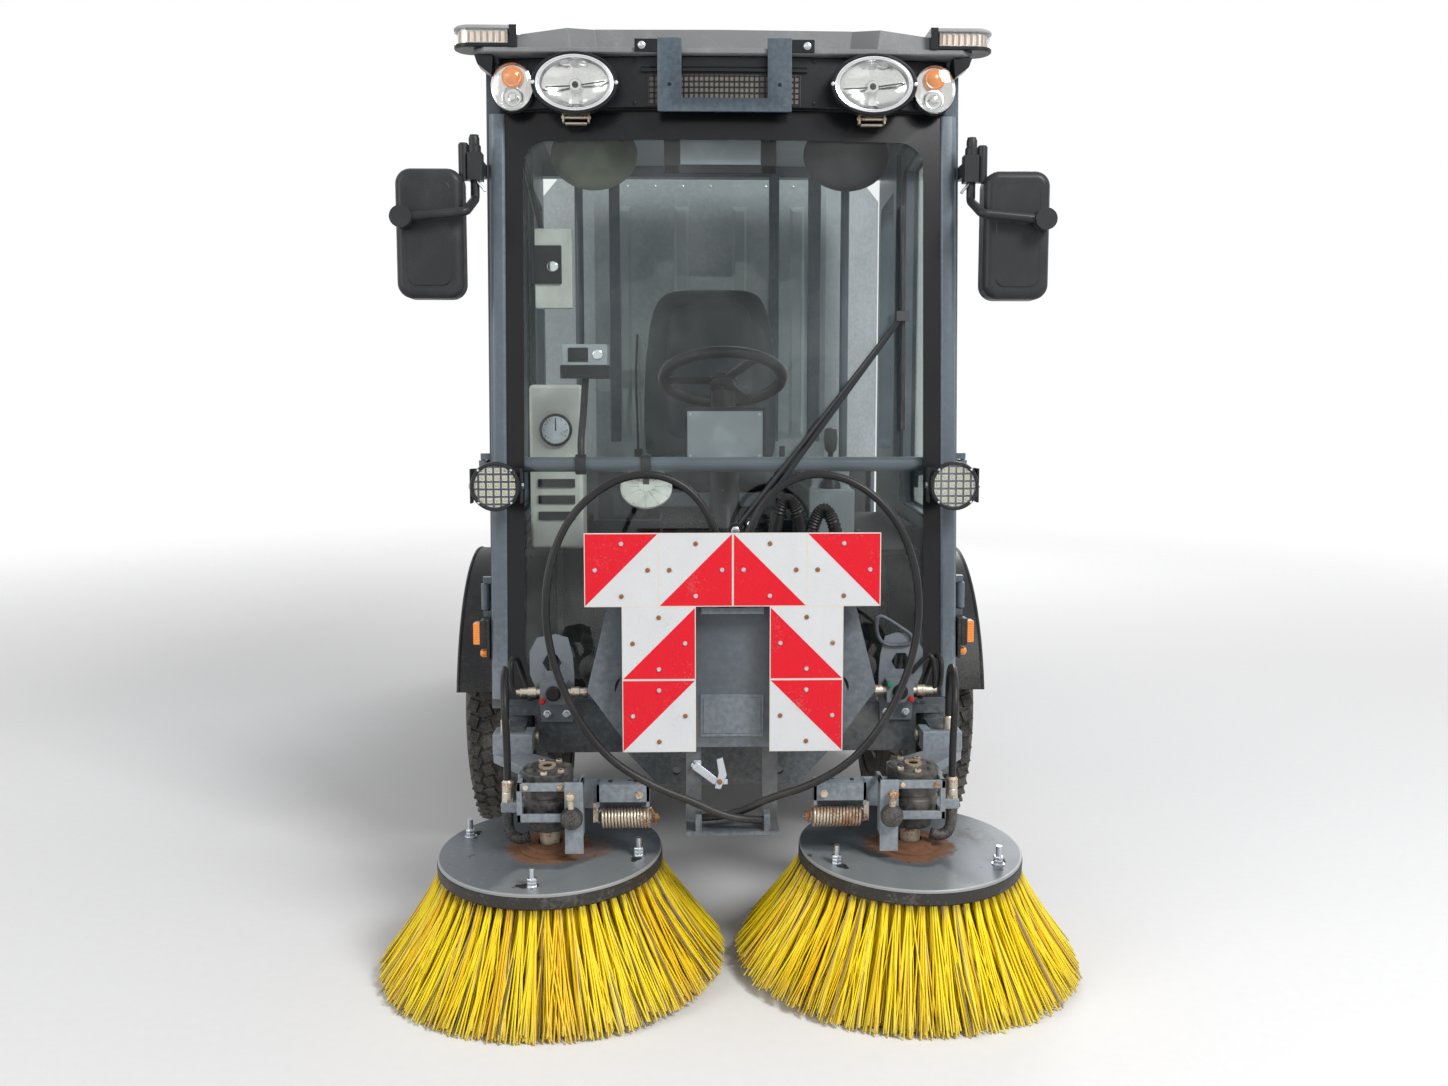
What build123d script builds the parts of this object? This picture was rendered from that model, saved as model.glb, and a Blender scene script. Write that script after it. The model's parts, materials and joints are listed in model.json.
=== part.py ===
"""Compact road sweeper: articulated chassis, glazed cab, two front disc brushes, tipping hopper.

Millimetres. +Z is up, the front faces -Y and the driver's left hand is +X. The origin is on the ground,
under the centre of the machine's outline. Pairs are made on the +X side and mirrored.
"""
from build123d import *
from math import pi, radians, sin, sqrt, tan
import os

os.makedirs("parts", exist_ok=True)

# ---------------------------------------------------------------- driving dimensions
wheelbase = 1900
front_axle_y = -590
rear_axle_y = front_axle_y + wheelbase
pivot_y = front_axle_y + wheelbase / 2

tyre_radius = 350
tyre_width = 235
rim_radius = 190
body_half_width = 650                       # over the tyres
tyre_x = body_half_width - tyre_width / 2
fender_gap = 45                             # tyre to fender
fender_thickness = 6
fender_radius = tyre_radius + fender_gap + fender_thickness

cab_front_y = -1240                         # foot of the windscreen
cab_rear_y = 190
cab_front_half = 533                        # half width at the front pillars
cab_rear_half = 600
cab_floor_z = 450
cab_eaves_z = 1913
roof_crown_z = 1988
roof_half = 556
screen_rake = 0.085                         # set-back per unit of height
screen_bow = 42
screen_half = 505
screen_low = 470
screen_high = 1800
glass = 8
wall = 40                                   # cab wall and door thickness
door_gap = 6
fit = 0.3                                   # clearance of pieces that seat on each other

rail_x = 280
rail_width = 80
rail_low = 395
rail_high = 450

duct_radius = 100
duct_wall = 5
mouth_clearance = 12                        # suction mouth to the ground

brush_x = 363
brush_y = -1625
disc_radius = 225
disc_thickness = 32
tip_radius = 355
bristle_drop = 199                          # plate underside to the plane of the tips
tilt_out = 1.0                              # degrees
tilt_forward = 3.5

module_front = 110                          # front of the rear module, behind the pivot
hopper_front_y = pivot_y + module_front
hopper_rear_y = rear_axle_y + 540
duct_y = hopper_front_y + 210
rail_rear_y = rear_axle_y + 570
rear_overhang = 657.19                      # puts the outline's middle on the origin
rear_end_y = rear_axle_y + rear_overhang
hopper_half = 600
hopper_low = 935
hopper_high = 1925
hopper_wall = 28

# ---------------------------------------------------------------- derived brush frame
spin_axis = Vector(sin(radians(tilt_out)), -sin(radians(tilt_forward)), 0)
spin_axis = Vector(spin_axis.X, spin_axis.Y, sqrt(1 - spin_axis.X**2 - spin_axis.Y**2))
disc_z = bristle_drop * spin_axis.Z + tip_radius * sqrt(1 - spin_axis.Z**2)
brush_plane = Plane(origin=(brush_x, brush_y, disc_z), x_dir=(1, 0, -spin_axis.X / spin_axis.Z), z_dir=spin_axis)
front_reach = -(brush_y - bristle_drop * spin_axis.Y) + tip_radius * sqrt(1 - spin_axis.Y**2)


def save(name, shape):
    """Writes one node's solids."""
    shape.label = name
    export_step(shape, f"parts/{name}.step")


def save_pair(name, shape):
    """Writes a left piece and its mirror image as two nodes."""
    save(f"{name}_left", shape)
    save(f"{name}_right", mirror(shape, about=Plane.YZ))


def block(x0, x1, y0, y1, z0, z1, mode=Mode.ADD):
    """A box between two corners, in the part being built."""
    with Locations(((x0 + x1) / 2, (y0 + y1) / 2, (z0 + z1) / 2)):
        Box(abs(x1 - x0), abs(y1 - y0), abs(z1 - z0), mode=mode)


def post(x, y, z0, z1, radius, mode=Mode.ADD):
    """An upright cylinder, in the part being built."""
    with Locations((x, y, (z0 + z1) / 2)):
        Cylinder(radius, z1 - z0, mode=mode)


def bar_x(x0, x1, y, z, radius, mode=Mode.ADD):
    """A cylinder along X, in the part being built."""
    with Locations(Location(((x0 + x1) / 2, y, z), (0, 90, 0))):
        Cylinder(radius, abs(x1 - x0), mode=mode)


def bar_y(x, y0, y1, z, radius, mode=Mode.ADD):
    """A cylinder along Y, in the part being built."""
    with Locations(Location((x, (y0 + y1) / 2, z), (90, 0, 0))):
        Cylinder(radius, abs(y1 - y0), mode=mode)


def mirrored():
    """Adds the mirror image of the part being built, across the middle of the machine."""
    mirror(about=Plane.YZ)


def side(y):
    """Half width of the cab's outer wall at y."""
    share = (y - cab_front_y) / (cab_rear_y - cab_front_y)
    return cab_front_half + share * (cab_rear_half - cab_front_half)


side_run = sqrt((cab_rear_y - cab_front_y) ** 2 + (cab_rear_half - cab_front_half) ** 2)
side_dir = Vector(cab_rear_half - cab_front_half, cab_rear_y - cab_front_y, 0) / side_run
# Local x runs back along the cab's left wall from its front corner, local y is up, and the normal is outward.
side_plane = Plane(origin=(cab_front_half, cab_front_y, 0), x_dir=side_dir, z_dir=side_dir.cross(Vector(0, 0, 1)))


def along(y):
    """Distance along the cab's wall of the point at y."""
    return (y - cab_front_y) / side_dir.Y


# ---------------------------------------------------------------- wheels
def wheel_plane(x, y):
    """Plane of a wheel's section: local x across the tyre and outwards, local y up."""
    return Plane(origin=(x, y, tyre_radius), x_dir=(1, 0, 0), z_dir=(0, -1, 0))


def make_tyre(y):
    half = tyre_width / 2
    with BuildPart() as tyre:
        with BuildSketch(wheel_plane(tyre_x, y)):
            with BuildLine():
                Polyline((-half + 22, rim_radius + fit), (half - 22, rim_radius + fit), (half - 8, rim_radius + 18))
                ThreePointArc((half - 8, rim_radius + 18), (half, rim_radius + 80), (half - 10, tyre_radius - 28))
                ThreePointArc((half - 10, tyre_radius - 28), (half - 17, tyre_radius - 10), (half - 34, tyre_radius - 3))
                ThreePointArc((half - 34, tyre_radius - 3), (0, tyre_radius), (-half + 34, tyre_radius - 3))
                ThreePointArc((-half + 34, tyre_radius - 3), (-half + 17, tyre_radius - 10), (-half + 10, tyre_radius - 28))
                ThreePointArc((-half + 10, tyre_radius - 28), (-half, rim_radius + 80), (-half + 8, rim_radius + 18))
                Line((-half + 8, rim_radius + 18), (-half + 22, rim_radius + fit))
            make_face()
        revolve(axis=Axis((tyre_x, y, tyre_radius), (1, 0, 0)))
    return tyre.part


hub_face = 45                               # wheel disc, outboard of the tyre's centre
spindle_radius = 32


def make_rim(y):
    half = tyre_width / 2 - 20
    with BuildPart() as rim:
        with BuildSketch(wheel_plane(tyre_x, y)):
            with BuildLine():
                Polyline(
                    (-half, rim_radius), (half, rim_radius), (half, rim_radius - 14), (hub_face + 14, rim_radius - 24),
                    (hub_face + 8, 110), (hub_face + 26, 92), (hub_face + 26, spindle_radius + fit),
                    (hub_face - 6, spindle_radius + fit), (hub_face - 6, 100), (hub_face - 2, rim_radius - 30),
                    (-half, rim_radius - 14), (-half, rim_radius),
                )
            make_face()
        revolve(axis=Axis((tyre_x, y, tyre_radius), (1, 0, 0)))
        with BuildSketch(Plane(origin=(tyre_x + hub_face - 20, y, tyre_radius), x_dir=(0, 1, 0), z_dir=(1, 0, 0))):
            with PolarLocations(132, 8):
                Circle(13)
        extrude(amount=60, mode=Mode.SUBTRACT)
    return rim.part


for place, axle_y in (("front", front_axle_y), ("rear", rear_axle_y)):
    save_pair(f"tyre_{place}", make_tyre(axle_y))
    save_pair(f"rim_{place}", make_rim(axle_y))


def make_axle(y):
    """Axle beam with a wheel motor, spindle and hanger at each end."""
    motor_out = tyre_x + hub_face - 12
    with BuildPart() as axle:
        bar_x(0, 390, y, tyre_radius, 42)
        bar_x(380, motor_out, y, tyre_radius, 88)
        bar_x(motor_out, tyre_x + hub_face + 24, y, tyre_radius, spindle_radius)
        block(rail_x - 30, rail_x + 30, y - 60, y + 60, tyre_radius, rail_low)
        mirrored()
    return axle.part


save("front_axle", make_axle(front_axle_y))
save("rear_axle", make_axle(rear_axle_y))


def make_fenders(y, inner_x, outer_x, start, end):
    """Arched guards over both tyres of an axle, between two angles above the rearward horizontal."""
    with BuildPart() as fenders:
        with BuildSketch(Plane(origin=(inner_x, y, tyre_radius), x_dir=(0, 1, 0), z_dir=(1, 0, 0))):
            with BuildLine():
                outer = CenterArc((0, 0), fender_radius - fit, start, end - start)
                inner = CenterArc((0, 0), fender_radius - fender_thickness, start, end - start)
                Line(outer @ 0, inner @ 0)
                Line(outer @ 1, inner @ 1)
            make_face()
        extrude(amount=outer_x - inner_x)
        mirrored()
    return fenders.part


save("front_fenders", make_fenders(front_axle_y, 425, body_half_width + 5, 12, 168))
save("rear_fenders", make_fenders(rear_axle_y, 425, body_half_width + 5, 12, 168))

# ---------------------------------------------------------------- front frame
beam_y = -1340                              # cross beam that carries the brush arms
swing_x = 455                               # brush arm swing pins
swing_y = -1345
swing_pin = 15
swing_low = 350                             # faces of the lugs that hold the knuckle
swing_high = 468
lug_plate = 20
hitch_y = -1430
panel_y = -1684                             # back of the centre panel
panel_thickness = 12
board_y = -1740                             # front of the warning board
board_thickness = 6
lug_low = 380
lug_high = 525
lug_thickness = 25
pivot_pin = 35
pivot_fit = 0.05
cable_radius = 7.5
clamp_x = 66                                # clamps that hold the cable ends
clamp_y = -1734
clamp_z = 345
crossing = 9                                # how far each cable runs from the clamps' middle

with BuildPart() as front_frame:
    block(rail_x - rail_width / 2, rail_x + rail_width / 2, beam_y, 210, rail_low, rail_high)
    block(0, 415, beam_y - 40, beam_y + 40, 385, 495)
    block(0, rail_x, -100, -20, rail_low, rail_high)
    # lugs and pin of the brush arm
    for z in (swing_low - lug_plate, swing_high):
        block(400, swing_x + 35, swing_y - 35, swing_y + 35, z, z + lug_plate)
    block(400, 415, swing_y - 35, swing_y + 35, swing_low - lug_plate, swing_high + lug_plate)
    post(swing_x, swing_y, swing_low - lug_plate, swing_high + lug_plate, swing_pin)
    # carriers of the front cover, with the cable clamps below them, and the hitch plate
    block(144, 156, panel_y, beam_y, 488, 520)
    block(60, 156, panel_y, panel_y + 10, 488, 520)
    block(60, 90, panel_y, panel_y + 10, clamp_z - 27, 520)
    block(0, 90, clamp_y - 20, panel_y + 10, clamp_z - 27, clamp_z - 19)
    block(clamp_x - 6, clamp_x + 6, clamp_y - 20, clamp_y + 20, clamp_z - 19, clamp_z + 13)
    with BuildSketch(Plane.XZ.offset(-hitch_y)):
        with BuildLine():
            Polyline((0, 330), (150, 330), (215, 400), (215, 480), (0, 480), (0, 330))
        make_face()
    extrude(amount=15)
    block(0, 200, hitch_y, beam_y, 400, 480)
    # articulation lugs
    block(0, rail_x, 170, 210, lug_low, lug_high)
    for z in (lug_low, lug_high - lug_thickness):
        block(0, 85, 210, pivot_y, z, z + lug_thickness)
        post(0, pivot_y, z, z + lug_thickness, 85)
    post(0, pivot_y, lug_low, lug_high, pivot_pin)
    mirrored()
    # hitch bolt holes
    with BuildSketch(Plane.XZ.offset(-hitch_y - 30)):
        with Locations((0, 405)):
            with GridLocations(220, 90, 2, 2):
                Circle(9)
    extrude(amount=60, mode=Mode.SUBTRACT)
save("front_frame", front_frame.part)

# ---------------------------------------------------------------- cab frame
pillar = 62                                 # width of the posts seen from the side
door_front_y = -1128
door_rear_y = -322
roof_rail = 60
wall_thickness = 55
wall_foot_z = tyre_radius + 340             # foot of the wall behind the front wheel
sill_high = cab_floor_z + 45
door_lean = 45                              # how far the door's front edge leans back about its middle
wall_arch = fender_radius + 3
door_arch = fender_radius + 26
door_arch_gap = 16                          # lets the door's foot swing past the wheel arch
rear_post_x = 430
grab_y = -1162
grab_z = 1005
grab_radius = 17


def rake(z):
    """How far the windscreen line is set back at height z."""
    return (z - cab_floor_z) * screen_rake


def seat_y(z):
    """Where the pillars' front edge lies behind the windscreen at height z."""
    return cab_front_y + rake(z) + glass + 3 + fit


def arch_height(y, radius):
    """Height of a circle of that radius round the front wheel, at y."""
    return tyre_radius + sqrt(radius**2 - (y - front_axle_y) ** 2)


def arch_reach(z, radius):
    """Distance from the axle to a circle of that radius, at height z."""
    return sqrt(radius**2 - (z - tyre_radius) ** 2)


def bow(x):
    """How far the windscreen bulges forward of its side edges at x."""
    radius = (screen_half**2 + screen_bow**2) / (2 * screen_bow)
    return sqrt(radius**2 - x**2) - radius + screen_bow


def bowed_strip(half, y, depth):
    """Adds the face between two arcs across the machine, bulging forward, to the sketch being built."""
    with BuildLine() as strip:
        ThreePointArc((-half, y), (0, y - screen_bow), (half, y))
        Line((half, y), (half, y + depth))
        ThreePointArc((half, y + depth), (0, y + depth - screen_bow), (-half, y + depth))
        Line((-half, y + depth), (-half, y))
    make_face(strip.edges())


def door_outline(gap, arch_gap):
    """Adds the door opening's outline, drawn in by a gap and by another over the wheel, to the sketch on the side."""
    low = sill_high + gap
    high = cab_eaves_z - roof_rail - gap
    front = along(door_front_y) + gap
    rear = along(door_rear_y) - gap
    radius = door_arch + arch_gap
    foot = (along(front_axle_y - arch_reach(low, radius)), low)
    heel = (rear, arch_height(door_rear_y - gap, radius))
    crest = (along(front_axle_y), tyre_radius + radius)
    with BuildLine() as outline:
        Polyline(foot, (front - door_lean, low), (front + door_lean, high), (rear, high), heel)
        ThreePointArc(heel, crest, foot)
    make_face(outline.edges())


door_hinge_x = along(door_front_y) - 40
door_hinge_out = 16                         # hinge axis outside the cab's wall
door_hinge_heights = (700, 985)
door_hinge_half = 30                        # half length of the door's sleeve
door_hinge_radius = 10
door_hinge_pin = 5
hinge_fit = 0.05


def hinge_bar(height, half, radius, mode=Mode.ADD):
    """An upright cylinder on the door's hinge axis, in the part being built."""
    with Locations(side_plane):
        with Locations((door_hinge_x, height, door_hinge_out)):
            Cylinder(radius, 2 * half, rotation=(90, 0, 0), mode=mode)


quarter_centre = (along(door_rear_y) + side_run) / 2
quarter_width = side_run - along(door_rear_y) - 2 * pillar
quarter_height = 760
quarter_z = 1380

with BuildPart() as cab_frame:
    with BuildSketch(side_plane):
        foot_front = along(front_axle_y - arch_reach(cab_floor_z, wall_arch))
        foot_rear = along(front_axle_y + arch_reach(wall_foot_z, wall_arch))
        with BuildLine():
            Polyline(
                (foot_front, cab_floor_z), (along(seat_y(cab_floor_z)), cab_floor_z),
                (along(seat_y(cab_eaves_z)), cab_eaves_z), (side_run, cab_eaves_z),
                (side_run, wall_foot_z), (foot_rear, wall_foot_z),
            )
            ThreePointArc(
                (foot_rear, wall_foot_z), (along(front_axle_y), tyre_radius + wall_arch),
                (foot_front, cab_floor_z),
            )
        make_face()
    extrude(amount=-wall_thickness)
    with BuildSketch(side_plane):
        door_outline(0, 0)
        with Locations((quarter_centre, quarter_z)):
            RectangleRounded(quarter_width, quarter_height, 30)
    extrude(amount=-2 * wall_thickness, both=True, mode=Mode.SUBTRACT)
    for height in door_hinge_heights:
        hinge_bar(height, door_hinge_half + 16, door_hinge_pin)
        for shift in (-1, 1):
            with Locations(side_plane):
                with Locations((door_hinge_x, height + shift * (door_hinge_half + 9), door_hinge_out / 2)):
                    Box(20, 14, door_hinge_out + 10)
    post(rear_post_x, cab_rear_y - 25, wall_foot_z, cab_eaves_z, 14)
    bar_x(0, cab_front_half - 45, grab_y, grab_z, grab_radius)
    mirrored()
    # sill and header across the front, bowed like the glass, and the rear sill and header
    with BuildSketch(Plane.XY.offset(cab_floor_z)):
        bowed_strip(screen_half - 5, seat_y(sill_high), 40)
    extrude(amount=sill_high - cab_floor_z)
    with BuildSketch(Plane.XY.offset(screen_high - 30)):
        bowed_strip(screen_half - 15, seat_y(screen_high), 40)
    extrude(amount=cab_eaves_z - screen_high + 30)
    block(-560, 560, cab_rear_y - 50, cab_rear_y, cab_eaves_z - 50, cab_eaves_z)
    block(-560, 560, cab_rear_y - 50, cab_rear_y, wall_foot_z, wall_foot_z + 70)
save("cab_frame", cab_frame.part)

# ---------------------------------------------------------------- glass of the cab
with BuildPart() as windscreen:
    with BuildSketch(Plane.XY.offset(screen_low)):
        bowed_strip(screen_half, cab_front_y + rake(screen_low) + 3, glass)
    extrude(amount=(screen_high - screen_low) * sqrt(1 + screen_rake**2), dir=(0, screen_rake, 1))
save("windscreen", windscreen.part)

with BuildPart() as cab_windows:
    with BuildSketch(side_plane.offset(-20)):
        with Locations((quarter_centre, quarter_z)):
            RectangleRounded(quarter_width - 2 * fit, quarter_height - 2 * fit, 30 - fit)
    extrude(amount=-glass)
    mirrored()
    glass_half = rear_post_x - 14 - fit
    block(-glass_half, glass_half, cab_rear_y - 29, cab_rear_y - 21, wall_foot_z + 70 + fit, cab_eaves_z - 50 - fit)
save("cab_windows", cab_windows.part)

# ---------------------------------------------------------------- doors, hinged at their front edge
door_frame = 48                             # width of the door's rim round its glass
door_waist = 860                            # foot of the door's window


def window_outline(gap):
    """Adds the door's window, drawn in by a gap, to the sketch on the cab's side."""
    low = door_waist + gap
    high = cab_eaves_z - roof_rail - door_gap - door_frame - gap
    front = along(door_front_y) + door_gap + door_frame + gap
    rear = along(door_rear_y) - door_gap - door_frame - gap
    with BuildLine() as outline:
        Polyline(
            (front - door_lean / 2, low), (front + door_lean, high), (rear, high), (rear, low),
            (front - door_lean / 2, low),
        )
    make_face(outline.edges())


with BuildPart() as door:
    with BuildSketch(side_plane.offset(-3)):
        door_outline(door_gap, door_arch_gap)
    extrude(amount=-wall)
    with BuildSketch(side_plane):
        window_outline(0)
    extrude(amount=-2 * wall, mode=Mode.SUBTRACT)
    for height in door_hinge_heights:
        hinge_bar(height, door_hinge_half, door_hinge_radius)
        with Locations(side_plane):
            with Locations((door_hinge_x + 50, height, door_hinge_out - 4)):
                Box(100, 2 * door_hinge_half, 6)
            with Locations((door_hinge_x + 95, height, 4)):
                Box(20, 2 * door_hinge_half, 16)
        hinge_bar(height, door_hinge_half + 1, door_hinge_pin + hinge_fit, mode=Mode.SUBTRACT)
save_pair("door", door.part)

with BuildPart() as door_glass:
    with BuildSketch(side_plane.offset(-15)):
        window_outline(fit)
    extrude(amount=-glass + 2)
save_pair("door_glass", door_glass.part)

# ---------------------------------------------------------------- cab floor and wheel arch boxes
floor_front = cab_front_y + 75
floor_rear = cab_rear_y - 50 - fit
arch_inner = 405
arch_panel = 15
shelf_z = tyre_radius + fender_radius + 21
with BuildPart() as cab_floor:
    block(0, arch_inner, floor_front, floor_rear, rail_high, rail_high + 20)
    block(arch_inner - arch_panel, arch_inner, front_axle_y - 395, floor_rear, rail_high, shelf_z)
    with BuildSketch(Plane.XY.offset(shelf_z)):
        with BuildLine():
            Polyline(
                (arch_inner - arch_panel, front_axle_y - 395),
                (side(front_axle_y - 395) - wall_thickness - 4, front_axle_y - 395),
                (side(floor_rear) - wall_thickness - 4, floor_rear), (arch_inner - arch_panel, floor_rear),
                (arch_inner - arch_panel, front_axle_y - 395),
            )
        make_face()
    extrude(amount=arch_panel)
    mirrored()
save("cab_floor", cab_floor.part)

# ---------------------------------------------------------------- roof, lamp panel and lamps
roof_front_y = cab_front_y + 40
flange = 12
with BuildPart() as cab_roof:
    block(-roof_half, roof_half, roof_front_y, cab_rear_y + 10, cab_eaves_z, cab_eaves_z + flange)
    chamfer(cab_roof.edges().filter_by(Axis.Z).sort_by(Axis.Y)[:2], 30)
    # columns: height, half width, front and rear
    for z, half, front, rear in (
        (cab_eaves_z + flange, 450, roof_front_y + 5, cab_rear_y),
        (roof_crown_z, 300, roof_front_y + 75, cab_rear_y - 60),
    ):
        with BuildSketch(Plane.XY.offset(z)):
            with Locations((0, (front + rear) / 2)):
                Rectangle(2 * half, rear - front)
    loft()
save("cab_roof", cab_roof.part)

panel_front = seat_y(screen_high) - 30
panel_low = screen_high + 2
strap_x = 122                               # mast bracket that hangs over the lamp panel
strap_half = 27
strap_low = 1788
strap_y = roof_front_y - 8 - fit
with BuildPart() as lamp_panel:
    with BuildSketch(Plane.XY.offset(panel_low)):
        bowed_strip(screen_half, panel_front, 30 - fit)
    extrude(amount=cab_eaves_z - fit - panel_low)
    block(-strap_x, strap_x, strap_y, strap_y + 8, strap_low, strap_low + 30)
    for x in (-strap_x, strap_x):
        block(x - strap_half, x + strap_half, strap_y, strap_y + 8, strap_low, cab_eaves_z + flange + 22)
save("lamp_panel", lamp_panel.part)

lamp_z = 1845
headlamp_x = 330
headlamp_width = 192
headlamp_height = 134
position_lamp_x = 472
position_lamp_width = 98
position_lamp_height = 110
with BuildPart() as roof_lamps:
    # columns: centre, width, height, depth
    for x, width, height, depth in (
        (headlamp_x, headlamp_width, headlamp_height, 50),
        (position_lamp_x, position_lamp_width, position_lamp_height, 34),
    ):
        back = panel_front - bow(x - width / 2) - fit
        with BuildSketch(Plane.XZ.offset(-back)):
            with Locations((x, lamp_z)):
                Ellipse(width / 2, height / 2)
        extrude(amount=depth)
    mirrored()
save("roof_lamps", roof_lamps.part)

beacon_y = roof_front_y + 38
beacon_in = 458
beacon_out = 600
beacon_depth = 82
with BuildPart() as beacons:
    with BuildSketch(Plane.XY.offset(cab_eaves_z + flange)):
        with Locations(((beacon_in + beacon_out) / 2, beacon_y)):
            Rectangle(beacon_out - beacon_in, beacon_depth)
    extrude(amount=48)
    fillet(beacons.edges().filter_by(Axis.Z).group_by(Axis.X)[-1], 38)
    mirrored()
save("beacons", beacons.part)

# ---------------------------------------------------------------- lamps, mirrors and wiper on the pillars
work_lamp_x = 508
work_lamp_z = 963
work_lamp_radius = 55
work_lamp_y = -1262                         # back of the lamp
with BuildPart() as work_lights:
    bar_y(work_lamp_x, work_lamp_y - 46, work_lamp_y, work_lamp_z, work_lamp_radius)
    block(515, 531, work_lamp_y, seat_y(work_lamp_z - 18) - 0.1, work_lamp_z - 18, work_lamp_z + 18)
    mirrored()
save("work_lights", work_lights.part)

marker_y = -1205
marker_z = 620
marker_face = side(marker_y + 20) + 1
with BuildPart() as side_markers:
    block(marker_face, marker_face + 8, marker_y - 20, marker_y + 20, marker_z - 60, marker_z + 34)
    block(marker_face + 8, marker_face + 40, marker_y - 17, marker_y + 17, marker_z - 26, marker_z + 26)
    mirrored()
save("side_markers", side_markers.part)

mirror_in = 579
mirror_out = 727
mirror_low = 1377
mirror_high = 1660
mirror_y = -1235                            # front face of the housing
mirror_depth = 62
mirror_post_x = side(-1180) + 22
mirror_post_y = -1178
mirror_arm = 10
with BuildPart() as mirrors:
    with BuildSketch(Plane.XZ.offset(-mirror_y - mirror_depth)):
        with Locations(((mirror_in + mirror_out) / 2, (mirror_low + mirror_high) / 2)):
            RectangleRounded(mirror_out - mirror_in, mirror_high - mirror_low, 34)
    extrude(amount=mirror_depth)
    fillet(mirrors.faces().sort_by(Axis.Y)[0].edges(), 18)
    block(side(-1102) + fit, side(-1102) + 12, mirror_post_y - 18, -1102, 1655, 1685)
    block(side(-1102) + fit, mirror_post_x + 14, mirror_post_y - 18, mirror_post_y + 18, 1640, 1700)
    with BuildLine():
        FilletPolyline(
            (mirror_post_x, mirror_post_y, 1740), (mirror_post_x, mirror_post_y, 1600),
            (mirror_post_x + 8, mirror_y - 26, 1562), (706, mirror_y - 26, 1549), radius=14,
        )
    with BuildSketch(Plane(origin=(mirror_post_x, mirror_post_y, 1740), z_dir=(0, 0, -1))):
        Circle(mirror_arm)
    sweep()
    bar_y(706, mirror_y - 44, mirror_y + 5, 1549, 24)
    mirrored()
save("mirrors", mirrors.part)

wiper_root = (22, 862)
wiper_hold = (398, 1337)
blade_x = 405
blade_low = 1085
blade_high = 1589


def screen_face(x, z):
    """The windscreen's front face at x and z."""
    return cab_front_y + 3 + rake(z) - bow(x)


root_y = screen_face(*wiper_root)
hold_y = screen_face(*wiper_hold)
blade_foot = Vector(blade_x, screen_face(blade_x, blade_low) - 9.8, blade_low)
blade_tip = Vector(blade_x, screen_face(blade_x, blade_high) - 9.8, blade_high)
with BuildPart() as wiper:
    bar_y(wiper_root[0], root_y - 34, root_y - 1.8, wiper_root[1], 16)
    bar_y(wiper_root[0] + 34, root_y - 30, root_y - 1.2, wiper_root[1] + 14, 11)
    for shift in (0, 34):
        start = Vector(wiper_root[0] + shift, root_y - 26, wiper_root[1] + shift * 0.4)
        end = Vector(wiper_hold[0] + shift / 4, hold_y - 26, wiper_hold[1] + shift * 0.3)
        with BuildSketch(Plane(origin=start, z_dir=end - start)):
            Circle(6)
        extrude(amount=(end - start).length)
    bar_y(wiper_hold[0] + 4, hold_y - 34, hold_y - 6, wiper_hold[1] + 4, 13)
    with BuildSketch(Plane(origin=blade_foot, x_dir=(1, 0, 0), z_dir=blade_tip - blade_foot)):
        Rectangle(9, 17)
    extrude(amount=(blade_tip - blade_foot).length)
save("wiper", wiper.part)

# ---------------------------------------------------------------- inside the cab
cabin_floor = rail_high + 20
seat_x = -10
seat_back_y = -40
cushion_z = 880
backrest_high = 1520
with BuildPart() as seat:
    block(seat_x - 170, seat_x + 170, -350, 30, cabin_floor, cushion_z)
    with BuildSketch(Plane.XY.offset(cushion_z)):
        with Locations((seat_x, -165)):
            RectangleRounded(470, 450, 60)
    extrude(amount=105)
    fillet(seat.faces().sort_by(Axis.Z)[-1].edges(), 30)
    with BuildSketch(Plane(origin=(seat_x, seat_back_y, cushion_z + 60), x_dir=(1, 0, 0), z_dir=(0, -1, 0.08))):
        with BuildLine():
            Polyline((0, 0), (225, 0), (225, 330), (190, 560))
            ThreePointArc((190, 560), (165, 572), (140, 578))
            Line((140, 578), (0, 585))
            mirror(about=Plane.YZ)
        make_face()
    extrude(amount=-95)
save("seat", seat.part)

wheel_centre = Vector(18, -420, 1215)
column_foot = Vector(18, -750, cabin_floor)
column_axis = (wheel_centre - column_foot).normalized()
shaft_radius = 10
display_y = -715
with BuildPart() as steering_column:
    with BuildSketch(Plane(origin=column_foot - column_axis * 60, z_dir=column_axis)):
        Circle(34)
    extrude(amount=(wheel_centre - column_foot).length + 10)
    with BuildSketch(Plane(origin=wheel_centre - column_axis * 60, z_dir=column_axis)):
        Circle(shaft_radius)
    extrude(amount=60)
    block(-70, 106, display_y, -520, 985, 1030)
    block(-90, 119, display_y - 30, display_y, 985, 1135)
    block(-200, 200, -900, 0, 0, cabin_floor, mode=Mode.SUBTRACT)
save("steering_column", steering_column.part)

steering_plane = Plane(origin=wheel_centre, z_dir=column_axis)
steering_radius = 168
with BuildPart() as steering_wheel:
    with BuildSketch(Plane(origin=wheel_centre, x_dir=steering_plane.x_dir, z_dir=steering_plane.y_dir)):
        with Locations((steering_radius, 0)):
            Circle(13)
    revolve(axis=Axis(wheel_centre, column_axis))
    with BuildSketch(steering_plane.offset(-30)):
        Circle(36)
    extrude(amount=26)
    with BuildSketch(steering_plane.offset(-12)):
        with PolarLocations(steering_radius / 2 + 10, 3, 90):
            Rectangle(steering_radius - 20, 30)
    extrude(amount=8)
    with BuildSketch(steering_plane.offset(-40)):
        Circle(shaft_radius + 0.05)
    extrude(amount=41, mode=Mode.SUBTRACT)
save("steering_wheel", steering_wheel.part)

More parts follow.
